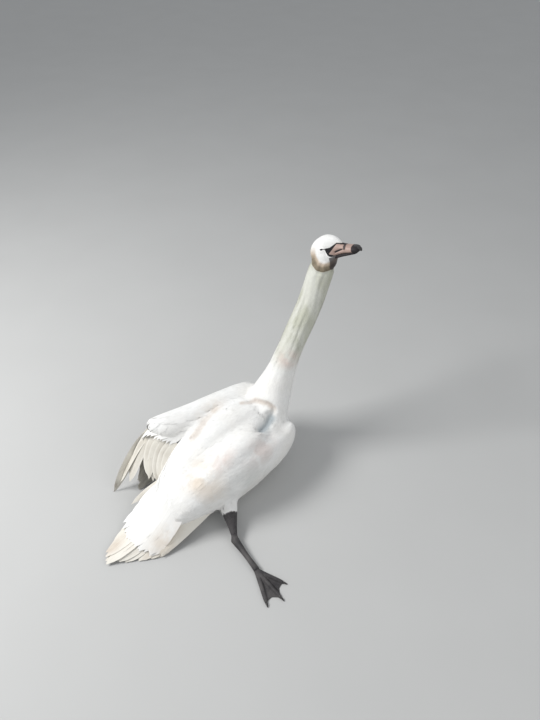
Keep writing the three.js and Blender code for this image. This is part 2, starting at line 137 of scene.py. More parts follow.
def strewn(rng: np.random.Generator, corners: np.ndarray, weight: np.ndarray,
           count: int) -> tuple[np.ndarray, np.ndarray, np.ndarray]:
    """Strews random points over triangles.

    Args:
        rng: The source of chance.
        corners: The corners of each triangle.
        weight: How readily each triangle is picked.
        count: How many points.

    Returns:
        The triangle of each point, its shares of the corners, and the points.
    """
    pick = rng.choice(len(corners), count, p=weight / weight.sum())
    share = rng.dirichlet((1, 1, 1), count)
    return pick, share, np.einsum("ij,ijk->ik", share, corners[pick])


def search_tree(points: np.ndarray) -> KDTree:
    """Returns a tree that finds the nearest of the points."""
    tree = KDTree(len(points))
    for i, point in enumerate(points):
        tree.insert(point, i)
    tree.balance()
    return tree


def along(rows: Iterable[Iterable[float]], t: np.ndarray) -> np.ndarray:
    """Reads a table of stations as a smooth curve through them.

    Args:
        rows: Stations, each with the same columns.
        t: Places from 0, the first station, to 1, the last.

    Returns:
        One row of columns for each place.
    """
    table = np.asarray(list(rows), float)
    last = len(table) - 1
    x = np.clip(t, 0, 1) * last
    i = np.minimum(x.astype(int), last - 1)
    f = (x - i)[:, None]
    p0, p1, p2, p3 = (table[np.clip(i + k, 0, last)] for k in (-1, 0, 1, 2))
    return 0.5 * (2 * p1 + (p2 - p0) * f + (2 * p0 - 5 * p1 + 4 * p2 - p3) * f**2
                  + (3 * p1 - p0 - 3 * p2 + p3) * f**3)


# ---------------------------------------------------------------------------------------- shaders


class Graph:
    """The node tree of one material, with one method that adds any node."""

    def __init__(self, name: str) -> None:
        """Starts an empty material of that name."""
        self.material = bpy.data.materials.new(name)
        self.material.use_nodes = True
        self.tree = self.material.node_tree
        self.tree.nodes.clear()

    def node(self, kind: str, settings: dict[str, Any] | None = None, **sockets: Any) -> Any:
        """Adds a node.

        Args:
            kind: Blender's node type.
            settings: Properties set before the sockets.
            sockets: Input values or links by socket name, with _ for a space, or i0, i1 by place.

        Returns:
            The new node.
        """
        node = self.tree.nodes.new(kind)
        for key, value in (settings or {}).items():
            setattr(node, key, value)
        for key, value in sockets.items():
            place = int(key[1:]) if key[0] == "i" and key[1:].isdigit() else key.replace("_", " ")
            self.feed(node.inputs[place], value)
        return node

    def feed(self, socket: Any, value: Any) -> None:
        """Sets a socket to a number or colour, or links it."""
        if isinstance(value, Value):
            value = value.socket
        if isinstance(value, bpy.types.NodeSocket):
            self.tree.links.new(value, socket)
        else:
            socket.default_value = value

    def value(self, kind: str, output: str | int, settings: dict[str, Any] | None = None,
              **sockets: Any) -> "Value":
        """Adds a node and returns one of its outputs as a Value."""
        return Value(self, self.node(kind, settings, **sockets).outputs[output])

    def mix(self, factor: Any, first: Any, second: Any, mode: str = "MIX") -> Any:
        """Returns the socket of a colour mix of first and second."""
        settings = {"data_type": "RGBA", "blend_type": mode}
        return self.node("ShaderNodeMix", settings, i0=factor, i6=first, i7=second).outputs[2]

    def vector(self, operation: str, **sockets: Any) -> Any:
        """Adds a Vector Math node and returns it."""
        return self.node("ShaderNodeVectorMath", {"operation": operation}, **sockets)


class Value:
    """A number that varies over the surface; Python operators on it add Math nodes."""

    def __init__(self, graph: Graph, socket: Any) -> None:
        """Wraps an output socket of a graph."""
        self.graph = graph
        self.socket = socket

    def math(self, operation: str, *others: Any, clamp: bool = False, first: Any = None) -> "Value":
        """Adds one Math node.

        Args:
            operation: The node's operation.
            others: The further inputs.
            clamp: Whether the result is held to 0 to 1.
            first: What takes the first socket when this value takes the second.

        Returns:
            The node's result.
        """
        inputs = [self, *others] if first is None else [first, self]
        sockets = {f"i{k}": v for k, v in enumerate(inputs)}
        return self.graph.value("ShaderNodeMath", 0, {"operation": operation, "use_clamp": clamp}, **sockets)

    def __add__(self, other: Any) -> "Value":
        """Adds."""
        return self.math("ADD", other)

    __radd__ = __add__

    def __sub__(self, other: Any) -> "Value":
        """Subtracts."""
        return self.math("SUBTRACT", other)

    def __rsub__(self, other: Any) -> "Value":
        """Subtracts this from another."""
        return self.math("SUBTRACT", first=other)

    def __mul__(self, other: Any) -> "Value":
        """Multiplies."""
        return self.math("MULTIPLY", other)

    __rmul__ = __mul__

    def __truediv__(self, other: Any) -> "Value":
        """Divides."""
        return self.math("DIVIDE", other)

    def __pow__(self, other: Any) -> "Value":
        """Raises to a power."""
        return self.math("POWER", other)

    def __abs__(self) -> "Value":
        """Drops the sign."""
        return self.math("ABSOLUTE")

    def clamped(self) -> "Value":
        """Returns the value held to 0 to 1."""
        return self.math("ADD", 0.0, clamp=True)

    def least(self, other: Any) -> "Value":
        """Returns the smaller of two."""
        return self.math("MINIMUM", other)

    def most(self, other: Any) -> "Value":
        """Returns the larger of two."""
        return self.math("MAXIMUM", other)

    def step(self, low: float, high: float) -> "Value":
        """Returns an eased ramp from 0 at low to 1 at high, or the reverse where low is the larger."""
        start, end, to_min, to_max = (low, high, 0.0, 1.0) if low < high else (high, low, 1.0, 0.0)
        return self.graph.value("ShaderNodeMapRange", 0, {"interpolation_type": "SMOOTHSTEP"},
                                i0=self, i1=start, i2=end, i3=to_min, i4=to_max)


class Place:
    """Places on the bird that the finishes read: Object coordinates, and the head's own axes."""

    def __init__(self, graph: Graph) -> None:
        """Adds the coordinate nodes to a graph."""
        self.graph = graph
        self.object = graph.node("ShaderNodeTexCoord").outputs["Object"]
        turn = [math.radians(a) for a in (HEAD_LEAN, -HEAD_TILT, HEAD_TURN)]
        self.head = graph.node("ShaderNodeMapping", {"vector_type": "TEXTURE"}, Vector=self.object,
                               Location=tuple(mm(HEAD_AT)), Rotation=turn).outputs[0]

    def axes(self, vector: Any) -> tuple[Value, Value, Value]:
        """Returns the x, y and z of a vector socket."""
        split = self.graph.node("ShaderNodeSeparateXYZ", Vector=vector)
        return tuple(Value(self.graph, s) for s in split.outputs)

    def noise(self, scale: float, detail: float, stretch: Point = (1, 1, 1)) -> Value:
        """Returns fractal noise on the object, with its pattern scaled along each axis."""
        base = self.graph.node("ShaderNodeMapping", Vector=self.object, Scale=stretch).outputs[0]
        return self.graph.value("ShaderNodeTexNoise", 0, Vector=base, Scale=scale, Detail=detail)

    def scales(self) -> Value:
        """Returns small scales, 1 on each and 0 in the grooves between them."""
        cells = self.graph.value("ShaderNodeTexVoronoi", "Distance", {"feature": "DISTANCE_TO_EDGE"},
                                 Vector=self.object, Scale=SCALE_DENSITY)
        return cells.step(0.0, 0.16)

    def vane(self) -> tuple[Value, Value, Value]:
        """Returns a feather's tint, and how far a point is from its shaft and its root, all 0 to 1."""
        tint = self.graph.value("ShaderNodeAttribute", "Fac", {"attribute_name": TINT})
        uv = self.graph.node("ShaderNodeUVMap", {"uv_map": VANE_MAP}).outputs[0]
        across, length, _ = self.axes(uv)
        return tint, abs(across - 0.5) * 2, length

    def seam(self, start: Any, end: Any, radius: float) -> Value:
        """Returns a soft line, 1 on the way between two places in millimetres and 0 a radius away."""
        graph = self.graph
        way = mm(end) - mm(start)
        offset = graph.vector("SUBTRACT", i0=self.object, i1=tuple(mm(start))).outputs[0]
        share = Value(graph, graph.vector("DOT_PRODUCT", i0=offset, i1=tuple(way / (way @ way))).outputs[1])
        foot = graph.vector("SCALE", i0=tuple(way), Scale=share.clamped()).outputs[0]
        gap = Value(graph, graph.vector("DISTANCE", i0=offset, i1=foot).outputs[1])
        return gap.step(radius * 0.001, radius * 0.00015)

    def spot(self, centre: Point, radius: float,
             stretch: Point) -> Value:
        """Returns a soft spot, 1 at a place in millimetres and 0 a radius away, with that stretched."""
        graph = self.graph
        offset = graph.vector("SUBTRACT", i0=self.object, i1=tuple(mm(centre))).outputs[0]
        scaled = graph.vector("MULTIPLY", i0=offset, i1=tuple(1 / s for s in stretch)).outputs[0]
        return Value(graph, graph.vector("LENGTH", i0=scaled).outputs[1]).step(radius * 0.001, 0.0)


def surface(graph: Graph, colour: Any, roughness: Any, height: Value | None = None, lift: float = 0.001,
            strength: float = 0.5, **constants: Any) -> bpy.types.Material:
    """Closes a graph with the one surface shader.

    Args:
        graph: The material's graph.
        colour: Base colour socket or value.
        roughness: Roughness socket or value.
        height: A height for the bump, or none.
        lift: How far the height reaches, in metres.
        strength: The bump's strength.
        constants: Further sockets of the shader that are the same all over.

    Returns:
        The finished material.
    """
    sockets = {"Base_Color": colour, "Roughness": roughness}
    if height is not None:
        bump = graph.node("ShaderNodeBump", Height=height, Distance=lift, Strength=strength)
        sockets["Normal"] = bump.outputs[0]
    shader = graph.node("ShaderNodeBsdfPrincipled", None, **sockets, **constants)
    graph.node("ShaderNodeOutputMaterial", None, Surface=shader.outputs[0])
    return graph.material


@dataclass(frozen=True)
class StainAndShade:
    """A soft stain, or a soft patch of painted shade, on the plumage: where, how wide, how strong and of
    what colour.
    """

    centre: Point
    radius: float
    strength: float
    colour: Colour
    stretch: Point = (1, 1, 1)


CREAM = (0.66, 0.54, 0.41, 1)
ROSE = (0.68, 0.52, 0.46, 1)
UMBER = (0.44, 0.32, 0.23, 1)
# The next two are colours of painted shade: grey, and a darker grey-blue for the pocket's floor.
PAINTED_SHADE_GREY = (0.50, 0.53, 0.52, 1)
SHADE = (0.34, 0.38, 0.40, 1)

# Lines on the plumage: the crease round the back's front end, the floor of its pocket, and the left fold.
# Painted shade runs along these lines: umber on the crease and the left fold, partly the young bird's brown
# and partly painted shade, and grey-blue painted shade on the pocket's floor.
CREASE = [
    (113, -65, 238), (138, -70, 225), (172, -62, 220), (202, -49, 224), (214, -42, 243), (206, -21, 257),
    (190, 22, 252), (151, 42, 255),
]
POCKET = [(140, -66, 205), (172, -57, 200), (200, -48, 208)]
LEFT_FOLD = [
    (92, 88, 250), (76, 84, 249), (50, 79, 251), (26, 71, 251), (0, 61, 248), (-26, 51, 243), (-52, 48, 232),
]

STAINS_AND_SHADE = (
    StainAndShade((-93, -40, 199), 70, 0.45, CREAM, (1.4, 0.9, 1)),
    StainAndShade((-128, -55, 182), 66, 0.50, CREAM),
    StainAndShade((-100, -100, 160), 75, 0.45, CREAM),
    StainAndShade((-37, -77, 223), 56, 0.50, ROSE, (1.5, 0.7, 1)),
    StainAndShade((-265, -66, 40), 80, 0.5, CREAM, (1.4, 0.6, 1)),
    StainAndShade((-385, 40, 20), 60, 0.55, UMBER, (1.2, 0.6, 1)),
    StainAndShade((88, -119, 200), 70, 0.45, ROSE, (1.5, 1, 1)),
    # Painted shade, not stains: grey low on the right side and in the pocket at the back's front end.
    StainAndShade((30, -128, 150), 90, 0.35, PAINTED_SHADE_GREY, (1.6, 1, 1)),
    StainAndShade((150, -66, 224), 30, 0.30, PAINTED_SHADE_GREY),
    StainAndShade((60, 92, 250), 60, 0.35, CREAM, (1.5, 0.6, 1)),
    StainAndShade((292, -25, 400), 50, 0.65, ROSE),
)


def stained_and_shaded(graph: Graph, place: Place, colour: Any, mottle: Value) -> Any:
    """Returns a colour socket with all the stains, and the patches and lines of painted shade, over it."""
    for stain_and_shade in STAINS_AND_SHADE:
        mask = place.spot(stain_and_shade.centre, stain_and_shade.radius, stain_and_shade.stretch)
        colour = graph.mix(mask * mottle.step(0.28, 0.56) * stain_and_shade.strength, colour, stain_and_shade.colour)
    ragged = mottle.step(0.30, 0.60) * 0.65 + 0.35
    # Lines of painted shade: umber on the crease and the left fold, brown tint with painted shade, and
    # grey-blue painted shade on the pocket's floor.
    for path, radius, strength, tone in (
        (CREASE[3:], 18, 0.50, UMBER), (LEFT_FOLD, 27, 0.42, UMBER), (POCKET, 36, 0.90, SHADE),
    ):
        line = None
        for start, end in zip(path, path[1:]):
            piece = place.seam(start, end, radius)
            line = piece if line is None else line.most(piece)
        colour = graph.mix(line * line * (ragged if tone is UMBER else 1.0) * strength, colour, tone)
    return colour


class Face:
    """Where bare skin and horn begin on the head, from the head's own axes in millimetres."""

    def __init__(self, place: Place) -> None:
        """Works out the masks from a material's coordinates."""
        hx, hy, hz = place.axes(place.head)
        ragged = (place.noise(150, 2) - 0.5) * 2.4
        self.x, self.y, self.z = hx * 1000 + ragged, hy * 1000, hz * 1000 + ragged * 0.6
        x, z = self.x, self.z
        self.top = ((x - 23.7) * 0.45).most(0.0).least(8.2 - (x - 43) * 0.42) + 7
        self.line = ((x - 18) * 0.95 - 10.5).least(11.6 - (x - 43) * 0.38) + (x - 60).most(0.0) * 0.08
        low = ((9.6 - x) / 4.6).math("EXPONENT") * 24.8 - 23
        base = (18 - x) * 0.75 - 11.3
        below = (z - self.line).step(0.5, -0.5)
        self.pink = x.step(17.4, 18.6) * below * (z - base).step(-0.6, 0.6)
        self.dark = x.step(8.2, 9.8) * (z - self.top).step(0.5, -0.5) * (z - low).step(-0.6, 0.6)
        self.dark = self.dark * (1 - self.pink) * x.step(70, 64)
        # The chin below the bill: dark skin, darkened further with painted shade under the bill.
        slope = x - (z + 24) * 0.17
        self.chin = slope.step(14.0, 16.5) * z.step(-21, -24) * z.step(-74, -64)


@dataclass(frozen=True)
class Horn:
    """The colours of the bill."""

    pink: Colour = (0.43, 0.305, 0.26, 1)
    dusk: Colour = (0.31, 0.22, 0.19, 1)
    black: Colour = (0.018, 0.014, 0.016, 1)


@dataclass(frozen=True)
class Plumage:
    """White contour feathers with the young bird's stains, hood and bare black lores, and painted shade on
    the neck, the chin, the right side, the creases and the pocket.
    """

    white: Colour = (0.86, 0.855, 0.835, 1)
    # Grey-green of the neck: a grey tint with painted shade and painted green reflected light.
    neck: Colour = (0.50, 0.505, 0.41, 1)
    tan: Colour = (0.50, 0.40, 0.30, 1)
    rim: Colour = (0.18, 0.15, 0.10, 1)
    # Near-black chin: dark skin with painted shade under the bill.
    chin: Colour = (0.050, 0.039, 0.042, 1)
    black: Colour = (0.018, 0.016, 0.018, 1)
    scale: Colour = (0.075, 0.070, 0.070, 1)
    soil: Colour = (0.80, 0.765, 0.70, 1)

    def dress(self, name: str, vaned: bool) -> bpy.types.Material:
        """Builds the finish.

        Args:
            name: The material's name.
            vaned: Whether the piece is made of feathers, with the vane map and the tint.

        Returns:
            The material.
        """
        graph = Graph(name)
        place = Place(graph)
        colour = self.markings(graph, place)
        lores = self.lores(place)
        height = place.noise(900, 2)
        if vaned:
            tint, side, length = place.vane()
            shade = (0.84 + 0.16 * length.step(0.0, 0.55)) * (0.94 + 0.06 * tint)
            edge = side.step(0.72, 1.0) * 0.05
            shaft = side.step(0.09, 0.0) * 0.05
            tone = shade + edge - shaft
            grey = graph.node("ShaderNodeCombineColor", Red=tone, Green=tone, Blue=tone).outputs[0]
            colour = graph.mix(1.0, colour, grey, "MULTIPLY")
            barbs = ((length * 60 + side * 26) * 3.0).math("SINE")
            height = height * 0.4 + barbs * 0.3 + shaft * 6
        else:
            bare = graph.value("ShaderNodeAttribute", "Fac", {"attribute_name": BARE})
            scales = place.scales()
            colour = graph.mix(bare, colour, graph.mix(scales, self.black, self.scale))
            height = height + bare * scales * 2
        colour = graph.mix(lores, colour, self.black)
        rough = 0.75 - lores * 0.35
        return surface(graph, colour, rough, height, 0.0004, 0.35,
                       Sheen_Weight=0.15, Sheen_Roughness=0.5, Specular_IOR_Level=0.25)

    def markings(self, graph: Graph, place: Place) -> Any:
        """Returns the colour socket of white, the neck's grey-green with painted shade, stains and painted
        shade, hood, chin darkened by painted shade, and the bill's pink base.
        """
        _, _, z = place.axes(place.object)
        hx, _, hz = place.axes(place.head)
        cloud = place.noise(9, 3)
        streak = place.noise(26, 3, (1, 1, 0.22))
        colour = graph.mix(cloud.step(0.35, 0.75) * 0.35, self.white, self.soil)
        reach = (((hx - HOOD_AT[0] * 0.001) ** 2 + (hz - HOOD_AT[1] * 0.001) ** 2) ** 0.5) * 1000
        # The neck's streaky grey-green is partly a grey tint and partly painted shade with painted green
        # reflected light.
        neck = z.step(0.33, 0.46) * (0.60 + 0.40 * streak.step(0.35, 0.65)) * reach.step(50, 56)
        colour = graph.mix(neck * 0.95, colour, self.neck)
        mottle = place.noise(22, 4)
        colour = stained_and_shaded(graph, place, colour, mottle)
        reach = reach + (mottle - 0.5) * 7
        within = reach.step(54.5, 53.0)
        low = hz.step(0.022, -0.012)
        tan = reach.step(25, 35) * within * low
        colour = graph.mix(tan * 0.95, colour, self.tan)
        rim = reach.step(33, 43) * within * hz.step(-0.002, -0.024)
        colour = graph.mix(rim * (0.65 + 0.35 * streak.step(0.3, 0.6)), colour, self.rim)
        face = Face(place)
        # Dark chin skin with painted shade under the bill.
        colour = graph.mix(face.chin * (0.7 + 0.3 * cloud), colour, self.chin)
        return graph.mix(face.pink, colour, Horn().pink)

    @staticmethod
    def lores(place: Place) -> Value:
        """Returns the mask of the black lores, the line round the bill and the eye's rim."""
        face = Face(place)
        rim = ((face.x / 5.2) ** 2 + ((face.z - 6.8) / 2.7) ** 2).step(1.15, 0.75)
        streak = abs(face.z - 6.0).step(1.5, 0.7) * face.x.step(2, 4) * face.x.step(12, 10)
        return face.dark.most(rim).most(streak).clamped()


@dataclass(frozen=True)
class Flight:
    """Long flight and tail feathers: pale grey-beige vanes with cream edges and pale shafts."""

    web: Colour = (0.50, 0.465, 0.40, 1)
    edge: Colour = (0.76, 0.73, 0.66, 1)
    dusk: Colour = (0.36, 0.29, 0.23, 1)
    shaft: Colour = (0.80, 0.75, 0.64, 1)

    def dress(self, name: str, paleness: float) -> bpy.types.Material:
        """Builds the finish.

        Args:
            name: The material's name.
            paleness: How far the webs go to white, from 0 to 1.

        Returns:
            The material.
        """
        graph = Graph(name)
        place = Place(graph)
        tint, side, length = place.vane()
        cloud = place.noise(14, 4)
        colour = graph.mix((tint * 0.5 + cloud.step(0.35, 0.7) * 0.5) * (1 - paleness), self.edge, self.web)
        colour = graph.mix(side.step(0.65, 0.98) * 0.7, colour, self.edge)
        colour = stained_and_shaded(graph, place, colour, cloud)
        smudge = cloud.step(0.56, 0.72) * length.step(0.25, 0.9) * (1 - paleness)
        colour = graph.mix(smudge * 0.6, colour, self.dusk)
        shaft = side.step(0.07, 0.02)
        colour = graph.mix(shaft * 0.5, colour, self.shaft)
        barbs = (length * 190 + side * 40).math("SINE")
        height = barbs * 0.3 + shaft * 1.5 + place.noise(700, 2) * 0.3
        return surface(graph, colour, 0.55 + 0.2 * cloud, height, 0.0005, 0.4,
                       Sheen_Weight=0.1, Specular_IOR_Level=0.3)


# ------------------------------------------------------------------------------------------- skin


class Region(Enum):
    """The parts of the body that are feathered in their own way."""

    HEAD = 0
    NECK = 1
    TRUNK = 2
    SCAPULARS = 3
    WING_RIGHT = 4
    WING_LEFT = 5
    THIGH_RIGHT = 6
    THIGH_LEFT = 7


FLESH = {
    "head": Region.HEAD, "neck_upper": Region.NECK, "neck_middle": Region.NECK, "neck_lower": Region.NECK,
    "trunk": Region.TRUNK, "scapulars_left": Region.SCAPULARS, "scapulars_right": Region.SCAPULARS,
    "wing_right": Region.WING_RIGHT, "wing_left": Region.WING_LEFT,
    "thigh_right": Region.THIGH_RIGHT, "thigh_left": Region.THIGH_LEFT,
}
# Hollows and ridges, each a centre, a radius and a height: on the body, and on each side of the head.
FOLDS = (
    ((104, -90, 230), 17, 2), ((138, -94, 206), 18, 4), ((180, -88, 204), 18, 4), ((215, -76, 203), 17, 3),
    ((203, 56, 238), 28, 10), ((76, 88, 246), 15, -3), ((50, 82, 248), 15, -3), ((26, 74, 248), 15, -3),
    ((0, 63, 246), 15, -3),
)
HEAD_RELIEF = (
    (EYE_SWELL, 10, 2.1), ((2, 27, 17), 9, 1.3), ((14, 27, -3), 8, -1.3), ((-4, 31, -22), 16, 1.4),
)
# The crease's depth along its line, how far it reaches on the back's side and beyond, and the back's middle.
CREASE_DEPTH = ((0, 0.15, 0.4, 0.55, 1), (6, 19, 20, 9, 3))
CREASE_INNER, CREASE_OUTER = 25, 7
BACK_MIDDLE = np.array([140, -15, 245])
DEPTHS = {
    Region.HEAD: 0.6, Region.NECK: 1.1, Region.TRUNK: 4.2, Region.SCAPULARS: 4.8, Region.WING_RIGHT: 4.0,
    Region.WING_LEFT: 4.0, Region.THIGH_RIGHT: 3.0, Region.THIGH_LEFT: 3.0,
}
ANKLES = {Region.THIGH_RIGHT: (-106, -203, 17), Region.THIGH_LEFT: (-158, 122, 17)}
HIPS = {Region.THIGH_RIGHT: (-44, -96, 62), Region.THIGH_LEFT: (-70, 92, 58)}


def opened(mesh: bpy.types.Mesh) -> bmesh.types.BMesh:
    """Turns a mesh that isn't needed any more into a bmesh."""
    bm = bmesh.new()
    bm.from_mesh(mesh)
    bpy.data.meshes.remove(mesh)
    return bm


def closed(bm: bmesh.types.BMesh, name: str, smooth: bool = False) -> bpy.types.Mesh:
    """Turns a bmesh into a mesh, which is shaded smooth or not, and frees it."""
    mesh = bpy.data.meshes.new(name)
    bm.to_mesh(mesh)
    bm.free()
    mesh.polygons.foreach_set("use_smooth", np.full(len(mesh.polygons), smooth))
    return mesh


def add_object(name: str, data: Any) -> bpy.types.Object:
    """Adds an object with that data to the scene."""
    new = bpy.data.objects.new(name, data)
    bpy.context.scene.collection.objects.link(new)
    return new


def merged_copy(name: str, swell: float = 0.0, smooth: bool = False) -> bpy.types.Mesh:
    """Copies a CAD node's mesh with its doubles merged.

    Args:
        name: The node.
        swell: How far its surface is moved outwards, in metres.
        smooth: Whether it is shaded smooth.

    Returns:
        The new mesh.
    """
    bm = bmesh.new()
    bm.from_mesh(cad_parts[name].data)
    bmesh.ops.remove_doubles(bm, verts=bm.verts, dist=1e-5)
    bmesh.ops.recalc_face_normals(bm, faces=bm.faces)
    bm.normal_update()
    for vertex in bm.verts:
        vertex.co += vertex.normal * swell
    return closed(bm, f"{name}_copy", smooth)


def shrink_wrapped(names: Iterable[str], voxel: float, swell: float) -> bpy.types.Mesh:
    """Joins CAD nodes into one closed surface.

    Args:
        names: The nodes.
        voxel: The size of the remesh's cells.
        swell: How far each node is grown first, so that the gaps between them close.

    Returns:
        One mesh of quads.
    """
    bm = bmesh.new()
    for name in names:
        part = merged_copy(name, swell)
        bm.from_mesh(part)
        bpy.data.meshes.remove(part)
    joined = closed(bm, "joined")
    helper = add_object("helper", joined)
    remesh = helper.modifiers.new("Remesh", "REMESH")
    remesh.mode = "VOXEL"
    remesh.voxel_size = voxel
    graph = bpy.context.evaluated_depsgraph_get()
    result = bpy.data.meshes.new_from_object(helper.evaluated_get(graph))
    bpy.data.objects.remove(helper)
    bpy.data.meshes.remove(joined)
    return result


def drop_islands(bm: bmesh.types.BMesh) -> None:
    """Keeps only the largest connected surface of a bmesh."""
    seen: set[int] = set()
    islands: list[list[Any]] = []
    bm.verts.ensure_lookup_table()
    for start in bm.verts:
        if start.index in seen:
            continue
        seen.add(start.index)
        island = [start]
        for vertex in island:
            for edge in vertex.link_edges:
                other = edge.other_vert(vertex)
                if other.index not in seen:
                    seen.add(other.index)
                    island.append(other)
        islands.append(island)
    islands.sort(key=len)
    spare = [v for island in islands[:-1] for v in island]
    bmesh.ops.delete(bm, geom=spare, context="VERTS")


class Surface:
    """A closed triangle surface as arrays, which can be smoothed and searched."""

    def __init__(self, bm: bmesh.types.BMesh) -> None:
        """Reads a bmesh, which is triangulated first."""
        bmesh.ops.triangulate(bm, faces=bm.faces)
        bm.verts.index_update()
        self.co = np.array([v.co for v in bm.verts])
        self.tris = np.array([[v.index for v in f.verts] for f in bm.faces])
        self.edges = np.array([[v.index for v in e.verts] for e in bm.edges])
        self.degree = np.bincount(self.edges.ravel(), minlength=len(self.co)).astype(float)
        self.tree: KDTree | None = None

    def spread(self, values: np.ndarray, rounds: int, weight: np.ndarray | float = 1.0) -> np.ndarray:
        """Blends values with their neighbours.

        Args:
            values: One value or vector for each vertex.
            rounds: How many times.
            weight: How strongly each vertex follows its neighbours, up to 1.

        Returns:
            The blended values.
        """
        values = values.astype(float)
        flat = values.reshape(len(values), -1)
        pull = 0.5 * np.broadcast_to(np.asarray(weight, float), len(flat))[:, None]
        a, b = self.edges.T
        for _ in range(rounds):
            mean = np.stack([
                np.bincount(a, column[b], len(flat)) + np.bincount(b, column[a], len(flat))
                for column in flat.T
            ], axis=1) / self.degree[:, None]
            flat = flat + (mean - flat) * pull
        return flat.reshape(values.shape)

    def normals(self) -> np.ndarray:
        """Returns the unit normal at each vertex."""
        p = self.co[self.tris]
        face = np.cross(p[:, 1] - p[:, 0], p[:, 2] - p[:, 0])
        total = np.stack([
            sum(np.bincount(self.tris[:, k], face[:, axis], len(self.co)) for k in range(3))
            for axis in range(3)
        ], axis=1)
        return unit(total)

    def nearest(self, points: np.ndarray) -> np.ndarray:
        """Returns the index of the vertex nearest to each point."""
        if self.tree is None:
            self.tree = search_tree(self.co)
        return np.array([self.tree.find(p)[1] for p in points])

    def mesh(self, name: str, co: np.ndarray) -> bpy.types.Mesh:
        """Returns a Blender mesh of this surface with its vertices at co."""
        return array_mesh(name, co, self.tris)


def array_mesh(name: str, co: np.ndarray, faces: np.ndarray) -> bpy.types.Mesh:
    """Makes a smooth-shaded mesh from arrays.

    Args:
        name: The mesh's name.
        co: One row for each vertex.
        faces: One row of vertex indices for each face, all of one length.

    Returns:
        The mesh.
    """
    count, sides = faces.shape
    mesh = bpy.data.meshes.new(name)
    mesh.vertices.add(len(co))
    mesh.vertices.foreach_set("co", np.ascontiguousarray(co, np.float32).ravel())
    mesh.loops.add(count * sides)
    mesh.loops.foreach_set("vertex_index", np.ascontiguousarray(faces, np.int32).ravel())
    mesh.polygons.add(count)
    mesh.polygons.foreach_set("loop_start", np.arange(0, count * sides, sides, dtype=np.int32))
    mesh.polygons.foreach_set("use_smooth", np.ones(count, bool))
    mesh.update(calc_edges=True)
    return mesh


def add_piece(name: str, mesh: bpy.types.Mesh, material: bpy.types.Material,
              replaced: Iterable[str] = ()) -> bpy.types.Object:
    """Adds a finished piece to the bird.

    Args:
        name: The piece's name.
        mesh: Its mesh, in place.
        material: Its finish.
        replaced: CAD nodes that it stands for.

    Returns:
        The new object.
    """
    piece = add_object(name, mesh)
    mesh.materials.clear()
    mesh.materials.append(material)
    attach(piece, "root")
    for node in replaced:
        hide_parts(node)
    mesh.calc_loop_triangles()
    LOG.info("%s: %d triangles", name, len(mesh.loop_triangles))
    return piece


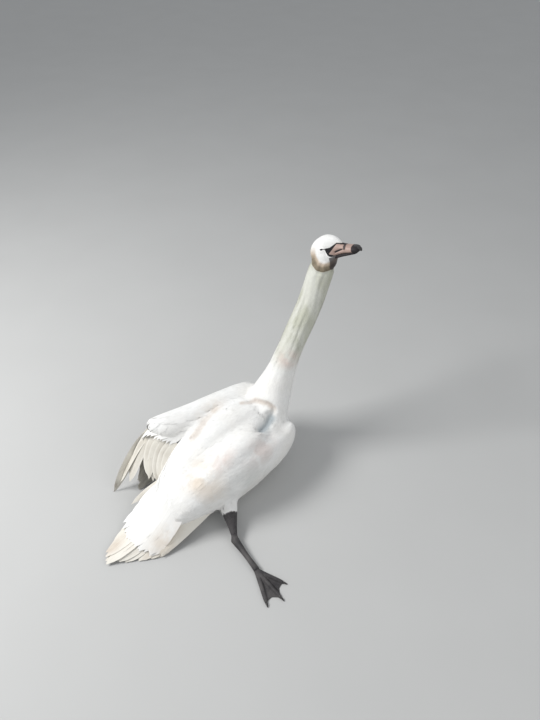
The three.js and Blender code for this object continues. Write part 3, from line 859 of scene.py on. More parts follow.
@dataclass
class Skin:
    """The one skin of head, neck, trunk, wings and thighs, and the fields that the coat reads."""

    voxel: float = 0.0036
    swell: float = 0.001
    sample_gap: float = 0.004
    head_softness: float = 0.35
    neck_softness: float = 0.6
    body_rounds: int = 40
    settle_rounds: int = 7
    head_reach: float = 0.062
    furrows: int = 13
    furrow_depth: float = 0.0011
    rng: np.random.Generator = field(default_factory=lambda: np.random.default_rng(SEED))

    def build(self) -> None:
        """Shapes the skin and works out region, depth and lie of the coat at each vertex."""
        bm = opened(shrink_wrapped(FLESH, self.voxel, self.swell))
        drop_islands(bm)
        centre = Vector(mm(HEAD_AT))
        near = [e for e in bm.edges if (e.verts[0].co - centre).length < self.head_reach]
        bmesh.ops.subdivide_edges(bm, edges=near, cuts=1, use_grid_fill=True)
        self.surface = Surface(bm)
        bm.free()
        self._label()
        self._smooth()
        self._sculpt()
        settle = self.surface.spread(np.where(self.within(Region.HEAD, Region.NECK), 0.0, 1.0), 6)
        self.surface.co = self.surface.spread(self.surface.co, self.settle_rounds, settle)
        self.normal = unit(self.surface.spread(self.surface.normals(), 3))
        self._depth()
        self._lie()

    def _label(self) -> None:
        """Gives each vertex the region of the nearest CAD node."""
        points, owners = [], []
        for name, region in FLESH.items():
            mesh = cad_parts[name].data
            mesh.calc_loop_triangles()
            tri = np.array([[mesh.vertices[i].co for i in t.vertices] for t in mesh.loop_triangles])
            area = np.linalg.norm(np.cross(tri[:, 1] - tri[:, 0], tri[:, 2] - tri[:, 0]), axis=1)
            count = int(area.sum() / 2 / self.sample_gap**2)
            points.append(strewn(self.rng, tri, area, count)[2])
            owners.append(np.full(count, region.value))
        tree = search_tree(np.concatenate(points))
        self.label = np.concatenate(owners)[[tree.find(p)[1] for p in self.surface.co]]

    def within(self, *regions: Region) -> np.ndarray:
        """Returns which vertices belong to the regions."""
        return np.isin(self.label, [r.value for r in regions])

    def _smooth(self) -> None:
        """Softens the voxel steps, and the joins between the body's masses."""
        s = self.surface
        weight = np.where(self.within(Region.NECK), self.neck_softness, 1.0)
        weight = s.spread(np.where(self.within(Region.HEAD), self.head_softness, weight), 12)
        s.co = s.spread(s.co, self.body_rounds, weight)

    def _sculpt(self) -> None:
        """Raises and hollows the surface: the head, the hood's edge, the folds and the neck's furrows."""
        s = self.surface
        normal = s.normals()
        lift = (self._head_relief() + self._body_folds()) * 0.001 + self._furrows()
        s.co = s.co + normal * lift[:, None]

    def _head_relief(self) -> np.ndarray:
        """Returns the lift of brows, lores and cheeks, and of the hood's overhang, in millimetres."""
        head = head_local(self.surface.co) * 1000
        lift = np.zeros(len(head))
        for side in (-1, 1):
            for (x, y, z), radius, height in HEAD_RELIEF:
                lift += height * hump(head, (x, y * side, z), radius)
        reach = np.hypot(head[:, 0] - HOOD_AT[0], head[:, 2] - HOOD_AT[1])
        hood = smoothstep(-12, -30, head[:, 2]) * self.within(Region.HEAD, Region.NECK)
        hood = self.surface.spread(hood, 4)
        edge = 1.8 * np.exp(-(((reach - 48) / 6) ** 2))
        hollow = 2.4 * np.exp(-(((reach - 60) / 5.5) ** 2))
        return lift + hood * (edge - hollow)

    def _body_folds(self) -> np.ndarray:
        """Returns the lift of the body's folds and of the crease round the back's end, in millimetres."""
        co = self.surface.co * 1000
        lift = sum(height * hump(co, centre, radius) for centre, radius, height in FOLDS)
        path = along(CREASE, np.linspace(0, 1, 60))
        gap = np.linalg.norm(co[:, None] - path[None], axis=2)
        nearest = gap.argmin(1)
        line_reach = np.linalg.norm(path[nearest] - BACK_MIDDLE, axis=1)
        inner = np.linalg.norm(co - BACK_MIDDLE, axis=1) < line_reach
        deep = np.interp(nearest / (len(path) - 1), *CREASE_DEPTH)
        return lift - deep * np.exp(-((gap.min(1) / np.where(inner, CREASE_INNER, CREASE_OUTER)) ** 2))

    def _furrows(self) -> np.ndarray:
        """Returns the lift of the neck's wavy furrows in metres, and notes how the neck runs."""
        s = self.surface
        spine = along(mm(NECK_SPINE), np.linspace(0, 1, 80))
        nearest, self.neck_tangent, out = beside(s.co, spine)
        left = np.array([0.0, 1.0, 0.0])
        front = np.cross(left, self.neck_tangent)
        angle = np.arctan2((out * left).sum(1), (out * front).sum(1))
        run = nearest / len(spine)
        wave = np.sin(self.furrows * angle + 1.5 * np.sin(run * 9) + 0.8 * np.sin(run * 23 + 2 * angle))
        wave *= 0.6 + 0.4 * np.sin(run * 17 + 3 * angle)
        ground = smoothstep(0.30, 0.42, s.co[:, 2]) * self.within(Region.NECK)
        return self.furrow_depth * wave * s.spread(ground, 6)

    def _depth(self) -> None:
        """Sets how deep the skin lies under the tips of the coat."""
        s = self.surface
        depth = np.array([DEPTHS[r] for r in Region])[self.label] * 0.001
        head = head_local(s.co) * 1000
        bill = self.within(Region.HEAD) * smoothstep(8, 20, head[:, 0])
        eye = hump(np.abs(head), EYE_SWELL, 9) * self.within(Region.HEAD)
        depth = depth * (1 - np.maximum(bill, 0.8 * eye)) + 0.0004 * bill
        self.bareness = np.zeros(len(s.co))
        for region, ankle in ANKLES.items():
            gap = np.linalg.norm(s.co - mm(ankle), axis=1)
            self.bareness = np.maximum(self.bareness, self.within(region) * smoothstep(0.108, 0.088, gap))
        depth = depth * (1 - self.bareness) + 0.0004 * self.bareness
        self.depth = s.spread(depth, 8)

    def _lie(self) -> None:
        """Works out the direction in which the coat lies."""
        s = self.surface
        flow = np.zeros_like(s.co)
        turn = np.array(head_matrix().to_3x3())
        head = head_local(s.co) * 1000
        down = -0.9 * smoothstep(8, -30, head[:, 2]) - 0.4 * smoothstep(-5, -30, head[:, 0])
        local = np.stack([-np.ones(len(s.co)), np.zeros(len(s.co)), down], axis=1)
        for region in Region:
            mask = self.label == region.value
            if region is Region.HEAD:
                flow[mask] = (local @ turn.T)[mask]
            elif region is Region.NECK:
                flow[mask] = -self.neck_tangent[mask]
            elif region is Region.TRUNK:
                fall = smoothstep(0.12, 0.27, s.co[:, 0])[mask]
                flow[mask] = np.stack([-1 + 0.7 * fall, 0 * fall, -0.08 - 0.9 * fall], axis=1)
            elif region is Region.SCAPULARS:
                flow[mask] = (-1, 0, -0.2)
            elif region is Region.WING_RIGHT:
                flow[mask] = (-1, 0.05, -0.12)
            elif region is Region.WING_LEFT:
                turned = smoothstep(0.0, -0.09, s.co[:, 0])[mask]
                flow[mask] = np.stack([-1 + 0.5 * turned, 0.22 - 0.07 * turned, 0.12 - 0.9 * turned], axis=1)
            else:
                flow[mask] = mm(ANKLES[region]) - mm(HIPS[region])
        flow = s.spread(unit(flow), 18)
        flow -= self.normal * (flow * self.normal).sum(1, keepdims=True)
        self.flow = unit(flow)

    def dress(self) -> bpy.types.Object:
        """Adds the skin, sunk under the coat's tips by its depth."""
        sunk = self.surface.co - self.normal * self.depth[:, None]
        mesh = self.surface.mesh("skin", sunk)
        bare = mesh.attributes.new(BARE, "FLOAT", "POINT")
        bare.data.foreach_set("value", np.clip(self.bareness * 1.6, 0, 1).astype(np.float32))
        return add_piece("skin", mesh, Plumage().dress("skin_plumage", False), FLESH)


# ------------------------------------------------------------------------------------------- coat


class Template:
    """One feather as a thin closed lens: a top and a bottom grid that share their border."""

    def __init__(self, rows: int, columns: list[float]) -> None:
        """Works out the grid of a feather.

        Args:
            rows: How many rows it has from root to tip.
            columns: Where its columns lie, from -1, the right edge, to 1, the left.
        """
        self.s = np.linspace(0, 1, rows)
        self.u = np.array(columns, float)
        m, n = rows, len(columns)
        top = np.arange(m * n).reshape(m, n)
        low = top.copy()
        low[1:-1, 1:-1] = m * n + np.arange((m - 2) * (n - 2)).reshape(m - 2, n - 2)
        under = [low[:-1, :-1], low[:-1, 1:], low[1:, 1:], low[1:, :-1]]
        over = [top[:-1, :-1], top[1:, :-1], top[1:, 1:], top[:-1, 1:]]
        self.faces = np.concatenate([np.stack(q, axis=-1).reshape(-1, 4) for q in (under, over)])
        s, u = np.meshgrid(self.s, self.u, indexing="ij")
        inner = np.zeros((m, n), bool)
        inner[1:-1, 1:-1] = True
        self.length_at = np.concatenate([s.ravel(), s[inner]])
        self.across_at = np.concatenate([u.ravel(), u[inner]])
        rows_of = np.repeat(np.arange(m), n)
        self.row_of = np.concatenate([rows_of, rows_of[inner.ravel()]])
        self.is_under = np.concatenate([np.zeros(m * n), np.ones(int(inner.sum()))])
        self.count = len(self.length_at)


# A vane's outline along its length: its width at the root, where it is full and where its tip begins.
VANE_ROOT, VANE_FULL, VANE_TIP = 0.35, 0.5, 0.6


@dataclass
class Feathers:
    """Many feathers of one template: middle lines with normals, half widths and tints."""

    template: Template
    line: np.ndarray
    normal: np.ndarray
    half: np.ndarray
    tint: np.ndarray
    bake: np.ndarray
    patch: tuple[float, float] = (PATCH, PATCH)
    thickness: float = 0.0003
    camber: float = 0.12
    blunt: float = 0.7
    ridge: float = 0.0
    fray: float = 0.05
    roundness: float = 0.18
    rng: np.random.Generator = field(default_factory=lambda: np.random.default_rng(SEED))

    def mesh(self, name: str) -> bpy.types.Mesh:
        """Returns all the feathers as one mesh, with their vane and bake maps and tints."""
        t = self.template
        row, s, u = t.row_of, t.length_at, t.across_at
        run = unit(np.gradient(self.line, axis=1))
        side = unit(np.cross(self.normal, run))
        up = unit(np.cross(run, side))
        length = np.linalg.norm(np.diff(self.line, axis=1), axis=2).sum(1)
        base = VANE_ROOT + (1 - VANE_ROOT) * np.sin(np.clip(s / VANE_FULL, 0, 1) * np.pi / 2)
        taper = ((s - VANE_TIP) / (1 - VANE_TIP)) ** 2 * (1 - (0.45 * self.blunt) ** 2)
        profile = base * np.where(s > VANE_TIP, np.sqrt(np.maximum(1 - taper, 0.02)), 1)
        out = u[None] * profile[None] * self.half[:, None]
        columns = np.searchsorted(np.sort(t.u), u)
        ragged = self.rng.normal(0, self.fray, (len(self.line), len(t.u)))[:, columns] * (s > 0.9)
        ahead = ((1 - u**2)[None] * 0.16 * (s > 0.99) + ragged) * np.minimum(length, 0.06)[:, None]
        height = -self.camber * (u**2)[None] * self.half[:, None] * profile[None]
        height = height + self.ridge * np.exp(-((u / 0.08) ** 2))[None] * (1 - 0.6 * s)[None]
        height = height - t.is_under[None] * (self.thickness + self.ridge * (np.abs(u) < 0.1))[None]
        co = (self.line[:, row] + side[:, row] * out[..., None] + up[:, row] * height[..., None]
              + run[:, row] * ahead[..., None])
        number = len(self.line)
        faces = (t.faces[None] + (np.arange(number) * t.count)[:, None, None]).reshape(-1, 4)
        mesh = array_mesh(name, co.reshape(-1, 3), faces)
        vane = np.broadcast_to(np.stack([u * 0.5 + 0.5, s], axis=1), (number, t.count, 2))
        local = np.stack([u * 0.5 * self.patch[0], (s - 0.5) * self.patch[1]], axis=1)
        bake = self.bake[:, None] + local[None]
        for map_name, values in ((BAKE_MAP, bake), (VANE_MAP, vane)):
            layer = mesh.uv_layers.new(name=map_name)
            layer.data.foreach_set("uv", values.reshape(-1, 2)[faces.ravel()].astype(np.float32).ravel())
        tint = mesh.attributes.new(TINT, "FLOAT", "POINT")
        tint.data.foreach_set("value", np.repeat(self.tint, t.count).astype(np.float32))
        bulge = side[:, row] * (u * self.roundness)[None, :, None]
        soft = unit(up[:, row] + bulge).reshape(-1, 3)
        facing = np.where(np.arange(len(t.faces)) < len(t.faces) // 2, -1.0, 1.0)
        corners = soft[faces.ravel()] * np.repeat(np.tile(facing, number), 4)[:, None]
        mesh.normals_split_custom_set(corners.tolist())
        return mesh


def unwrap(points: np.ndarray, axis: np.ndarray) -> np.ndarray:
    """Unwraps points round an axis, by angle and by distance along it.

    Args:
        points: Places on the skin.
        axis: Points of the axis in order.

    Returns:
        One u, v for each point, within the unit square.
    """
    nearest, tangent, out = beside(points, axis)
    left = unit(np.cross([0.3, 0.1, 1.0], tangent))
    up = np.cross(tangent, left)
    angle = np.arctan2((out * left).sum(1), (out * up).sum(1)) / (2 * np.pi) + 0.5
    run = nearest + (out * tangent).sum(1) / np.linalg.norm(axis[1] - axis[0])
    run = (run - run.min()) / max(np.ptp(run), 1e-9)
    return np.stack([angle, run], axis=1) * 0.98 + 0.01


@dataclass(frozen=True)
class Patch:
    """A part of the coat that is one piece: which regions, where in x or z, and its template."""

    name: str
    regions: tuple[Region, ...]
    rows: int
    columns: tuple[float, ...]
    closeness: float
    slimness: float
    low: float = -9.0
    high: float = 9.0
    by_height: bool = False


THREE = (-1.0, 0.0, 1.0)
FIVE = (-1.0, -0.5, 0.0, 0.5, 1.0)
PATCHES = (
    Patch("coat_face", (Region.HEAD,), 4, THREE, 0.185, 0.17),
    Patch("coat_neck_top", (Region.NECK,), 4, THREE, 0.150, 0.15, low=0.58, by_height=True),
    Patch("coat_neck_middle", (Region.NECK,), 4, THREE, 0.155, 0.15, low=0.45, high=0.58, by_height=True),
    Patch("coat_neck_base", (Region.NECK,), 4, THREE, 0.155, 0.16, high=0.45, by_height=True),
    Patch("coat_breast", (Region.TRUNK,), 5, FIVE, 0.160, 0.23, low=0.10),
    Patch("coat_flanks", (Region.TRUNK,), 5, FIVE, 0.160, 0.23, high=0.10),
    Patch("coat_mantle", (Region.SCAPULARS,), 7, FIVE, 0.130, 0.22),
    Patch("coat_wing_right", (Region.WING_RIGHT,), 6, FIVE, 0.150, 0.23),
    Patch("coat_wing_left", (Region.WING_LEFT,), 6, FIVE, 0.165, 0.23),
    Patch("coat_thighs", (Region.THIGH_RIGHT, Region.THIGH_LEFT), 5, THREE, 0.20, 0.22),
)
# The height and side of the straight axis that a patch is unwrapped round, and the same for all others.
WING_AXES = {"coat_wing_right": (-95, 130), "coat_wing_left": (130, 200)}
TRUNK_AXIS = (0, 105)


@dataclass
class Coat:
    """The small feathers, rooted in the skin and lying along it.

    Feathers longer than stiff_from bend less, up to stiffest. A feather that has run free_from past the
    skin's end starts to go straight on, and has left it at free_at. They are short round the hollow
    behind the neck.
    """

    skin: Skin
    yaw: float = 0.10
    crowd: float = 2.6
    stiff_from: float = 0.030
    stiff_over: float = 0.060
    stiffest: float = 0.45
    free_from: float = 0.007
    free_at: float = 0.013
    hollow_at: Point = (165, -50, 235)
    hollow_radius: float = 55
    rng: np.random.Generator = field(default_factory=lambda: np.random.default_rng(SEED + 1))

    def lengths(self) -> np.ndarray:
        """Returns the length of a feather rooted at each vertex of the skin, in metres."""
        skin = self.skin
        x, _, z = skin.surface.co.T
        head = head_local(skin.surface.co) * 1000
        size = np.zeros(len(x))
        face = 5.5 + 3.5 * smoothstep(5, -35, head[:, 0])
        neck = 13 + 12 * smoothstep(0.68, 0.34, z)
        back = smoothstep(0.17, 0.21, z) * smoothstep(0.25, 0.15, x)
        trunk = 26 + 8 * smoothstep(0.20, 0.0, x) + 14 * back + 16 * smoothstep(-0.12, -0.22, x)
        mantle = 40 + 28 * smoothstep(0.10, -0.15, x)
        right = 17 + 40 * smoothstep(0.25, -0.12, x)
        left = 18 + 34 * smoothstep(0.24, -0.08, x)
        thigh = 18 - 12 * skin.bareness
        for region, value in zip(Region, (face, neck, trunk, mantle, right, left, thigh, thigh)):
            size = np.where(skin.label == region.value, value, size)
        size = size * (1 - 0.55 * hump(skin.surface.co * 1000, self.hollow_at, self.hollow_radius))
        return skin.surface.spread(size, 10) * 0.001

    def bare(self) -> np.ndarray:
        """Returns where no feather grows: lores, eyes, ankles, and what the tail coverts hide."""
        head = head_local(self.skin.surface.co) * 1000
        x, side, z = head[:, 0], np.abs(head[:, 1]), head[:, 2]
        top = 7.5 + np.minimum(np.maximum((x - 23.7) * 0.45, 0), 8.2 - (x - 43) * 0.42)
        low = np.where(x > 22, -60, 23.8 * np.exp((9.6 - x) / 4.6) - 23)
        lores = (z < top) & (z > low) & (x > 8.5)
        eyes = (((x - 2.5) / 8) ** 2 + ((z - 7) / 3.6) ** 2 < 1) & (side > 15)
        on_head = self.skin.within(Region.HEAD)
        covered = (self.skin.normal[:, 0] < -0.62) & (self.skin.surface.co[:, 0] < -0.08)
        covered &= ~self.skin.within(Region.THIGH_RIGHT, Region.THIGH_LEFT)
        return (on_head & (lores | eyes)) | (self.skin.bareness > 0.5) | covered

    def scatter(self, patch: Patch, mask: np.ndarray, radius: np.ndarray) -> tuple[np.ndarray, np.ndarray]:
        """Picks evenly spaced roots.

        Args:
            patch: The part of the coat.
            mask: The vertices that it covers.
            radius: The least gap between roots at each vertex.

        Returns:
            The roots and the vertex nearest to each.
        """
        s = self.skin.surface
        tris = s.tris[mask[s.tris].all(1)]
        corner = s.co[tris]
        area = np.linalg.norm(np.cross(corner[:, 1] - corner[:, 0], corner[:, 2] - corner[:, 0]), axis=1) / 2
        gap = radius[tris].mean(1)
        weight = area / gap**2
        count = int(weight.sum() * self.crowd)
        pick, share, points = strewn(self.rng, corner, weight, count)
        kept = self.thinned(points, gap[pick])
        LOG.info("%s: %d feathers", patch.name, len(kept))
        return points[kept], tris[pick, np.argmax(share, axis=1)][kept]

    @staticmethod
    def thinned(points: np.ndarray, gaps: np.ndarray) -> list[int]:
        """Returns which points stay when each keeps its gap from those before it."""
        grid: dict[tuple[int, int, int], list[int]] = {}
        keys = np.floor(points / float(gaps.max())).astype(int)
        steps = [(a, b, c) for a in (-1, 0, 1) for b in (-1, 0, 1) for c in (-1, 0, 1)]
        plain = points.tolist()
        kept: list[int] = []
        for i, (kx, ky, kz) in enumerate(keys.tolist()):
            px, py, pz = plain[i]
            limit = gaps[i] ** 2
            near = (plain[j] for a, b, c in steps for j in grid.get((kx + a, ky + b, kz + c), ()))
            if any((px - x) ** 2 + (py - y) ** 2 + (pz - z) ** 2 < limit for x, y, z in near):
                continue
            grid.setdefault((kx, ky, kz), []).append(i)
            kept.append(i)
        return kept

    def grown(self, patch: Patch, roots: np.ndarray, vertex: np.ndarray, length: np.ndarray) -> Feathers:
        """Lays a feather from each root along the lie of the coat.

        Args:
            patch: The part of the coat.
            roots: The roots, on the outer surface.
            vertex: The skin's vertex at each.
            length: The length of each.

        Returns:
            The feathers.
        """
        skin, s = self.skin, self.skin.surface
        template = Template(patch.rows, list(patch.columns))
        yaw = self.rng.normal(0, self.yaw, len(roots))[:, None]
        stiff = np.clip((length - self.stiff_from) / self.stiff_over, 0, self.stiffest)[:, None]
        place, normal = roots, skin.normal[vertex]
        heading = unit(skin.flow[vertex] + np.cross(normal, skin.flow[vertex]) * np.tan(yaw))
        line, normals = [place], [normal]
        for ds in np.diff(template.s):
            guess = place + heading * (length * ds)[:, None]
            near = s.nearest(guess)
            over = skin.normal[near]
            offset = guess - s.co[near]
            gap = (offset * over).sum(1, keepdims=True)
            free = smoothstep(self.free_from, self.free_at, np.linalg.norm(offset, axis=1))[:, None]
            hold = np.maximum(stiff, free)
            place = guess - over * np.where(gap > 0, gap * (1 - hold), gap * (1 - free))
            normal = unit(normal * hold + over * (1 - hold))
            flow = skin.flow[near] + np.cross(over, skin.flow[near]) * np.tan(yaw)
            heading = heading * (0.5 + 0.5 * free) + unit(flow) * (0.5 - 0.5 * free)
            heading = unit(heading - over * (heading * over).sum(1, keepdims=True) * (1 - hold))
            line.append(place)
            normals.append(normal)
        line, normals = np.stack(line, axis=1), np.stack(normals, axis=1)
        depth = skin.depth[vertex] + self.rng.normal(0, 0.00015, len(roots))
        rise = 1 - (1 - template.s) ** 3
        sink = -depth[:, None] * (1 - rise)[None] - 0.0008 * (1 - template.s)[None] ** 4
        line = line + normals * sink[..., None]
        half = length * patch.slimness * self.rng.uniform(0.9, 1.1, len(roots))
        return Feathers(template, line, normals, half, self.rng.uniform(0, 1, len(roots)),
                        unwrap(roots, self.axis(patch)), thickness=min(0.0003, float(length.mean()) * 0.02),
                        rng=self.rng)

    @staticmethod
    def axis(patch: Patch) -> np.ndarray:
        """Returns the axis that a part of the coat is unwrapped round."""
        if Region.HEAD in patch.regions:
            return carried(mm(np.linspace((-60, 0, -20), (50, 0, 0), 60)), head_matrix())
        if Region.NECK in patch.regions:
            return along(mm(NECK_SPINE), np.linspace(0, 1, 90))
        y, z = WING_AXES.get(patch.name, TRUNK_AXIS)
        return mm(np.linspace((300, y, z), (-300, y, z), 90))

    def build(self) -> None:
        """Adds every part of the coat."""
        skin = self.skin
        lengths = self.lengths()
        bare = self.bare()
        for patch in PATCHES:
            measure = skin.surface.co[:, 2 if patch.by_height else 0]
            mask = skin.within(*patch.regions) & ~bare & (measure >= patch.low) & (measure < patch.high)
            roots, vertex = self.scatter(patch, mask, lengths * patch.closeness)
            length = lengths[vertex] * self.rng.uniform(0.88, 1.12, len(roots))
            feathers = self.grown(patch, roots, vertex, length)
            mesh = feathers.mesh(patch.name)
            add_piece(patch.name, mesh, Plumage().dress(f"{patch.name}_plumage", True))


# -------------------------------------------------------------------------------- flight feathers


# The grid of a long feather, closest along its shaft.
VANE_ROWS = 22
VANE_COLUMNS = (-1, -0.7, -0.4, -0.15, -0.04, 0.04, 0.15, 0.4, 0.7, 1)


@dataclass(frozen=True)
class Fan:
    """A row of long feathers, blended between a first and a last one, in millimetres."""

    name: str
    count: int
    root: tuple[Point, ...]
    bend: tuple[Point, ...]
    tip: tuple[Point, ...]
    width: tuple[float, float]
    replaced: str = ""
    paleness: float = 1.0
    upwards: Point = (0.0, 0.0, 1.0)
    lap: float = 0.16
    sharp: float = 0.6
    plumed: bool = False

    def build(self, rng: np.random.Generator) -> None:
        """Adds the fan as one piece."""
        template = Template(VANE_ROWS, list(VANE_COLUMNS))
        t = np.linspace(0, 1, self.count)
        root, bend, tip = (along(mm(stations), t) for stations in (self.root, self.bend, self.tip))
        tip = tip + rng.normal(0, 0.002, tip.shape)
        tip[:, 2] = np.maximum(tip[:, 2], 0.003)
        s = template.s[None, :, None]
        line = root[:, None] * (1 - s) ** 2 + bend[:, None] * 2 * s * (1 - s) + tip[:, None] * s**2
        sweep = unit(np.gradient(bend, axis=0))
        face = unit(np.cross(unit(tip - root), sweep))
        face *= np.sign((face * np.array(self.upwards)).sum(1, keepdims=True))
        face = unit(face + sweep * self.lap)
        normals = np.repeat(face[:, None], len(template.s), axis=1)
        lift = np.linspace(0, 1, self.count)[:, None] * (0.0002 if self.plumed else 0.0004) * self.count
        line = line + normals * lift[..., None] * 0.5
        half = mm(np.linspace(self.width[0], self.width[1], self.count)) / 2
        if self.plumed:
            axis = mm(np.linspace((-300, *TRUNK_AXIS), (300, *TRUNK_AXIS), 60))
            cells, patch = unwrap(root, axis), (PATCH, PATCH)
        else:
            cells = np.stack([(np.arange(self.count) + 0.5) / self.count, np.full(self.count, 0.5)], axis=1)
            patch = (0.9 / self.count, 0.9)
        feathers = Feathers(template, line, normals, half, rng.uniform(0, 1, self.count), cells,
                            patch=patch, thickness=0.0005, camber=0.20 if self.plumed else 0.10,
                            blunt=1 - self.sharp * 0.6, ridge=0.0007, fray=0.02, rng=rng)
        mesh = feathers.mesh(self.name)
        for vertex in mesh.vertices:
            vertex.co.z = max(vertex.co.z, 0.0006)
        if self.plumed:
            add_piece(self.name, mesh, Plumage().dress(f"{self.name}_plumage", True))
        else:
            finish = Flight().dress(f"{self.name}_vanes", self.paleness)
            add_piece(self.name, mesh, finish, [self.replaced] if self.replaced else [])


def tail_coverts(row: int) -> Fan:
    """Returns one row of the long coverts that carry the back's line over the tail's root."""
    root_x, tip_x = -166 - 22 * row, -290 - 24 * row
    root, bend, tip = [], [], []
    for s in np.linspace(-1, 1, 7):
        root.append((root_x + 12 * s * s, 4 + 58 * s, 160 - 25 * row - 34 * s * s))
        tip.append((tip_x + 26 * s * s, 8 + 76 * s, 58 - 12 * row - 16 * s * s))
        bend.append(((root_x + tip_x) / 2 - 14, 6 + 74 * s, 112 - 20 * row - 28 * s * s))
    return Fan(f"coat_tail_coverts_{row + 1}", 15, tuple(root), tuple(bend), tuple(tip), (38, 38),
               sharp=0.9, lap=0.0, plumed=True)


def tail_fan() -> Fan:
    """Returns the tail: a low wedge of fifteen feathers, the middle ones longest."""
    root, bend, tip = [], [], []
    for s in np.linspace(-1, 1, 9):
        reach = -420 + (112 * abs(s) ** 1.1 if s < 0 else 92 * s**1.9)
        root.append((-190, 50 * s, 62 - 14 * abs(s)))
        tip.append((reach, 12 + s * (60 if s > 0 else 80), 6 + 5 * (1 - abs(s))))
        bend.append(((-190 + reach) / 2, 82 * s, 40 - 10 * abs(s)))
    return Fan("tail_feathers", 15, tuple(root), tuple(bend), tuple(tip), (44, 44), "tail", 0.6, lap=0.05)


FANS = (
    Fan("primaries_right", 7, ((-60, -98, 84), (-80, -72, 146)), ((-170, -86, 60), (-180, -54, 110)),
        ((-292, -84, 14), (-272, -32, 60)), (34, 42), "wing_right_primaries", 0.9),
    Fan("coat_wing_left_coverts", 16,
        ((-70, 196, 212), (-66, 172, 234), (-60, 140, 244), (-50, 110, 244), (-42, 86, 238)),
        ((-106, 202, 212), (-104, 180, 234), (-98, 149, 248), (-84, 118, 245), (-72, 93, 234)),
        ((-140, 197, 192), (-139, 178, 214), (-130, 150, 232), (-113, 120, 225), (-96, 97, 208)),
        (26, 28), upwards=(-0.3, 0.0, 0.9), sharp=0.9, lap=0.04, plumed=True),
    Fan("secondaries_left", 8,
        ((-84, 186, 222), (-90, 180, 226), (-94, 166, 228), (-94, 146, 230),
         (-92, 130, 226), (-88, 116, 220), (-86, 102, 214), (-84, 90, 208)),
        ((-160, 202, 178), (-160, 202, 182), (-160, 184, 194), (-150, 152, 198),
         (-146, 132, 190), (-140, 116, 182), (-135, 98, 178), (-128, 82, 172)),
        ((-266, 224, 4), (-238, 208, 44), (-222, 176, 66), (-184, 114, 110),
         (-180, 100, 102), (-174, 84, 104), (-167, 68, 114), (-158, 50, 132)),
        (42, 46), "wing_left_secondaries", 0.0, upwards=(-0.6, -0.3, 0.7), sharp=1.0),
    Fan("primaries_left", 10, ((112, 112, 112), (-52, 150, 206)), ((-46, 176, 52), (-112, 196, 160)),
        ((-200, 168, 6), (-172, 190, 84)), (50, 50), "wing_left_primaries", 0.3,
        upwards=(0.0, 1.0, 0.3), lap=0.04),
    Fan("tertials_left", 3, ((-120, 40, 150), (-130, 30, 140), (-140, 20, 130)),
        ((-190, 74, 110), (-200, 50, 96), (-215, 40, 84)), ((-258, 122, 26), (-262, 84, 22), (-290, 50, 24)),
        (22, 30), paleness=0.6, upwards=(-0.5, 0.3, 0.8), sharp=1.0),
)


# ------------------------------------------------------------------------------------------- head


def lofted(name: str, rows: tuple[tuple[float, ...], ...], around: int, lengthwise: int,
           shape: Callable[[np.ndarray], np.ndarray] | None = None) -> bpy.types.Mesh:
    """Bends a sphere into a smooth hull through a table of rings.

    Args:
        name: The mesh's name.
        rows: Rings in millimetres: x, y, z, left, right, up, down, power.
        around: Segments round the hull.
        lengthwise: Segments along it.
        shape: Moves the finished points, in millimetres, or none.

    Returns:
        The mesh in the head's place.
    """
    bm = bmesh.new()
    bmesh.ops.create_uvsphere(bm, u_segments=around, v_segments=lengthwise, radius=1)
    unit_co = np.array([v.co for v in bm.verts])
    t = np.arccos(np.clip(-unit_co[:, 2], -1, 1)) / np.pi
    ring = along(rows, t)
    angle = np.arctan2(unit_co[:, 1], unit_co[:, 0])
    round_off = np.clip(np.sin(t * np.pi) / np.sin(math.radians(20)), 0, 1) ** 0.6
    power = 2 / ring[:, 7]
    c, s = np.cos(angle), np.sin(angle)
    wide = np.sign(c) * np.abs(c) ** power * np.where(c > 0, ring[:, 3], ring[:, 4]) * round_off
    high = np.sign(s) * np.abs(s) ** power * np.where(s > 0, ring[:, 5], ring[:, 6]) * round_off
    co = np.stack([ring[:, 0], ring[:, 1] + wide, ring[:, 2] + high], axis=1)
    if shape is not None:
        co = shape(co)
    for vertex, place in zip(bm.verts, carried(co * 0.001, head_matrix())):
        vertex.co = place
    bmesh.ops.recalc_face_normals(bm, faces=bm.faces)
    return closed(bm, name, smooth=True)


def nostril_line(x: Any) -> Any:
    """Returns the height of the nostril's middle line at x, in millimetres on the head's own axes."""
    return (x - 31) * 0.22 - 10.4


